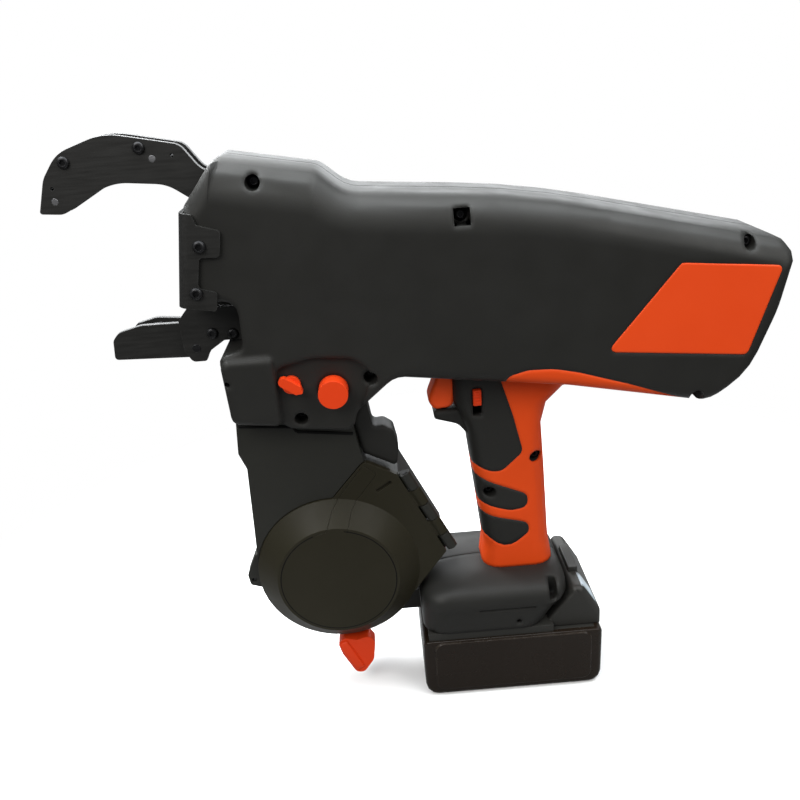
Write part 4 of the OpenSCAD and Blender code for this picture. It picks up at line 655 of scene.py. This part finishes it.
# %% Wind the wire
spool_low, spool_high = (Vector(v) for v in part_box("wire_winding"))
axle = (spool_low + spool_high) / 2
half_long = (spool_high.y - spool_low.y) / 2
wound_r = (spool_high.x - spool_low.x) / 2
wire_r, hub_r = 0.5 * mm, 17.2 * mm
turns, steps = 26, 40
wire_sides, sleeve_sides = 6, 64
lead = (2 * half_long - 3 * wire_r) / turns
bm = bmesh.new()
first = Matrix.Translation((axle.x + wound_r - wire_r, spool_low.y + 1.5 * wire_r, axle.z))
strand = bmesh.ops.create_circle(bm, segments=wire_sides, radius=wire_r, matrix=first)
bmesh.ops.spin(bm, geom=strand["verts"] + list(bm.edges), cent=axle, axis=(0, 1, 0), angle=math.tau * turns,
               steps=steps * turns, dvec=(0, lead / steps, 0))
into_scene(bm, "wire_turns", wire_zinc, nodes["wire_winding"]["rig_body"], smooth=80)
bm = bmesh.new()
lie = Matrix.Translation(axle) @ Matrix.Rotation(math.radians(90), 4, "X")
layers_r = wound_r - wire_r
stack(bm, [(hub_r, -half_long, False), (layers_r, -half_long, False), (layers_r, half_long, False),
           (hub_r, half_long, False)], lie, sleeve_sides, tube=True)
into_scene(bm, "wire_layers", wire_zinc, nodes["wire_winding"]["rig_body"], ("wire_winding",))
print("wire", turns, "turns at", round(lead / mm, 2), "mm")

# %% [markdown]
# ## Battery's film
# The battery carries a plain pale film on the slope behind its button. Film follows what it is stuck to, so
# a small grid is dropped onto the cover and given a thickness.

# %% Lay the film
def laid_on(name, corner, across, down, cells, lift):
    """A grid from a corner over two edges, dropped along its own normal onto a solid."""
    solid = bmesh.new()
    solid.from_mesh(nodes[name].data)
    under = BVHTree.FromBMesh(solid)
    solid.free()
    bm = bmesh.new()
    bmesh.ops.create_grid(bm, x_segments=cells[0], y_segments=cells[1], size=0.5)
    face = across.cross(down).normalized()
    if face.z < 0:
        face = -face
    drop_from = 30 * mm
    for v in bm.verts:
        start = corner + across * (v.co.x + 0.5) + down * (v.co.y + 0.5)
        place = under.ray_cast(start + face * drop_from, -face)[0]
        v.co = (place or start) + face * lift
    return bm


cover_low, cover_high = (Vector(v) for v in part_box("battery_cover"))
film_corner = Vector((cover_high.x - 13.2 * mm, cover_low.y + 7.8 * mm, cover_high.z - 1.7 * mm))
film_across = Vector((0, 13.5 * mm, 0))
film_down = Vector((11.4 * mm, 0, -12.2 * mm))
film_thick, film_lift, film_cells = 0.1 * mm, 0.12 * mm, (6, 8)
bm = laid_on("battery_cover", film_corner, film_across, film_down, film_cells, film_lift)
film = into_scene(bm, "battery_film", label_pale, nodes["battery_cover"]["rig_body"])
film.modifiers.new("thick", "SOLIDIFY").thickness = film_thick
print("film", round(film_across.length / mm, 1), "x", round(film_down.length / mm, 1), "mm")

# %% [markdown]
# ## Finger ribs
# The battery's button and the slide switch have moulded ribs, so that a finger or a thumb doesn't slip. They
# are small blocks in a row with their edges rounded, sunk a little into what carries them.

# %% Raise the finger ribs
def ribs(bm, low, high, count, along, share=0.45, round_by=0.12 * mm):
    """Blocks spread evenly along one axis of a box; each takes a share of its step."""
    low, high = Vector(low), Vector(high)
    step = (high[along] - low[along]) / count
    for k in range(count):
        size = high - low
        size[along] = step * share
        middle = (low + high) / 2
        middle[along] = low[along] + (k + 0.5) * step
        block = Matrix.Translation(middle) @ Matrix.Diagonal((*size, 1))
        bmesh.ops.create_cube(bm, size=1, matrix=block)
    bmesh.ops.bevel(bm, geom=list(bm.edges), offset=round_by, offset_type="OFFSET", segments=2, profile=0.5,
                    affect="EDGES", clamp_overlap=True, material=-1)


low, high = (Vector(v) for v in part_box("battery_button"))
rib_front, rib_back, rib_ends, rib_sunk = 0.8 * mm, 0.4 * mm, 3 * mm, 0.4 * mm
bm = bmesh.new()
ribs(bm, (low.x + rib_front, low.y + rib_ends, high.z - rib_sunk),
     (high.x - rib_back, high.y - rib_ends, high.z), count=4, along=0)
into_scene(bm, "battery_button_ribs", battery_black, nodes["battery_button"]["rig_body"])

low, high = (Vector(v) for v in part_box("trigger_lock"))
knob_x, knob_half, rib_ends, rib_proud = (low.x + high.x) / 2, 1.6 * mm, 2.2 * mm, 0.3 * mm
bm = bmesh.new()
ribs(bm, (knob_x - knob_half, low.y - rib_proud, low.z + rib_ends),
     (knob_x + knob_half, low.y + rib_sunk, high.z - rib_ends), count=4, along=2)
into_scene(bm, "slide_switch_ribs", red_hard, nodes["trigger_lock"]["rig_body"])

# %% [markdown]
# ## Lock lever's grip
# The red lever under the magazine has a raised lobe for the thumb. It is a rounded bar that lies aslant
# across the lever's face and stands out of it.

# %% Raise the lever's lobe
def rounded_bar(bm, start, end, width, low, high, round_by):
    """A bar between two (x, z) points and between two y values, with all its edges rounded."""
    run = Vector((end[0] - start[0], end[1] - start[1]))
    middle = Vector(((start[0] + end[0]) / 2, (low + high) / 2, (start[1] + end[1]) / 2))
    turn = Matrix.Rotation(-math.atan2(run.y, run.x), 4, "Y")
    size = Matrix.Diagonal((run.length, high - low, width, 1))
    made = bmesh.ops.create_cube(bm, size=1, matrix=Matrix.Translation(middle) @ turn @ size)
    edges = {e for v in made["verts"] for e in v.link_edges}
    bmesh.ops.bevel(bm, geom=list(edges), offset=round_by, offset_type="OFFSET", segments=4, profile=0.5,
                    affect="EDGES", clamp_overlap=True, material=-1)


lever_low, lever_high = (Vector(v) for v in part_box("lid_lock_lever"))
lobe_top = (lever_low.x + 2.5 * mm, lever_high.z - 2.3 * mm)
lobe_foot = (lever_low.x + 12.1 * mm, lever_low.z + 3.8 * mm)
lobe_wide, lobe_proud, lobe_sunk, lobe_round = 6.4 * mm, 1.6 * mm, 1.5 * mm, 1.4 * mm
lobe_face, lobe_root = lever_low.y - lobe_proud, lever_low.y + lobe_sunk
bm = bmesh.new()
rounded_bar(bm, lobe_top, lobe_foot, lobe_wide, lobe_face, lobe_root, lobe_round)
into_scene(bm, "lock_lever_lobe", red_hard, nodes["lid_lock_lever"]["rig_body"])
print("lobe stands", round(lobe_proud / mm, 1), "mm out of the lever")

# %% [markdown]
# ## Painted shadow under the feeder
# The feeder overhangs the magazine's neck, and the thin line of shade under it is painted as a near-black
# strip on the neck's face. It starts behind the neck's front corner and steps down with the feeder's floor,
# in three short bars.

# %% Lay the painted shadow
neck_low, neck_high = (Vector(v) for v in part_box("reel_case"))
shadow_back = (8.9 * mm, 38.5 * mm, 40.3 * mm, 71.1 * mm)
shadow_down = (3.6 * mm, 6.2 * mm, 9.3 * mm, 13.1 * mm)
shadow_wide, shadow_face, shadow_root, shadow_round = 1.6 * mm, 1.5 * mm, 2.6 * mm, 0.35 * mm
corners = [(neck_low.x + back, neck_high.z - down) for back, down in zip(shadow_back, shadow_down)]
bm = bmesh.new()
for start, end in zip(corners, corners[1:]):
    rounded_bar(bm, start, end, shadow_wide, neck_low.y + shadow_face, neck_low.y + shadow_root, shadow_round)
into_scene(bm, "magazine_painted_shadow", painted_shade_black, nodes["reel_case"]["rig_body"])
# The bars counted here are the painted shadow strip.
print("seal in", len(corners) - 1, "bars")

# %% [markdown]
# ## Battery's inner lip
# Between the case's rim and the cover's hump the pack has a narrow ledge on each side, which closes it over
# the cells. Here it is one thin bar a side, just below the rim.

# %% Close the battery's inner lip
case_high = Vector(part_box("battery_case")[1])
lip_front, lip_rear = case_high.x - 31.5 * mm, case_high.x - 4.5 * mm
lip_in, lip_below, lip_wide, lip_thick = 6.3 * mm, 0.8 * mm, 3.6 * mm, 0.8 * mm
bm = bmesh.new()
for way in (-1, 1):
    middle = Vector(((lip_front + lip_rear) / 2, way * (case_high.y - lip_in), case_high.z - lip_below))
    size = Matrix.Diagonal((lip_rear - lip_front, lip_wide, lip_thick, 1))
    bmesh.ops.create_cube(bm, size=1, matrix=Matrix.Translation(middle) @ size)
into_scene(bm, "battery_lip", battery_black, nodes["battery_case"]["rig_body"])
print("lip", round((lip_rear - lip_front) / mm, 1), "mm long")

# %% [markdown]
# ## Painted shade of the groove round the lid's disc
# The disc is a moulding of its own, set into the lid with a narrow groove round it that reads as a dark
# line. That shade is painted: a near-black ring lies at the disc's rim, all but flush with its face. A
# square section is spun round the reel's axis, and it stops on both sides of the strap that leaves the disc.

# %% Paint the groove's shade
disc_low = Vector(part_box("lid_disc")[0])
disc_r = axle.z - disc_low.z
groove_wide, groove_deep, groove_proud = 0.6 * mm, 0.5 * mm, 0.02 * mm
strap_from, strap_to = math.radians(80), math.radians(111)
groove_steps = 150
bm = bmesh.new()
start = (Matrix.Translation((axle.x, disc_low.y - groove_proud + groove_deep / 2, axle.z))
         @ Matrix.Rotation(-strap_to, 4, "Y") @ Matrix.Translation((disc_r + groove_wide / 4, 0, 0))
         @ Matrix.Diagonal((groove_wide, groove_deep, 1, 1)) @ Matrix.Rotation(math.radians(45), 4, "Z"))
section = bmesh.ops.create_circle(bm, segments=4, radius=math.sqrt(0.5), matrix=start)
bmesh.ops.spin(bm, geom=section["verts"] + list(bm.edges), cent=axle, axis=(0, -1, 0),
               angle=math.tau - (strap_to - strap_from), steps=groove_steps)
bmesh.ops.holes_fill(bm, edges=bm.edges, sides=4)
into_scene(bm, "disc_groove_shade", painted_shade_black, nodes["lid_disc"]["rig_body"])
print("disc radius", round(disc_r / mm, 1), "mm")
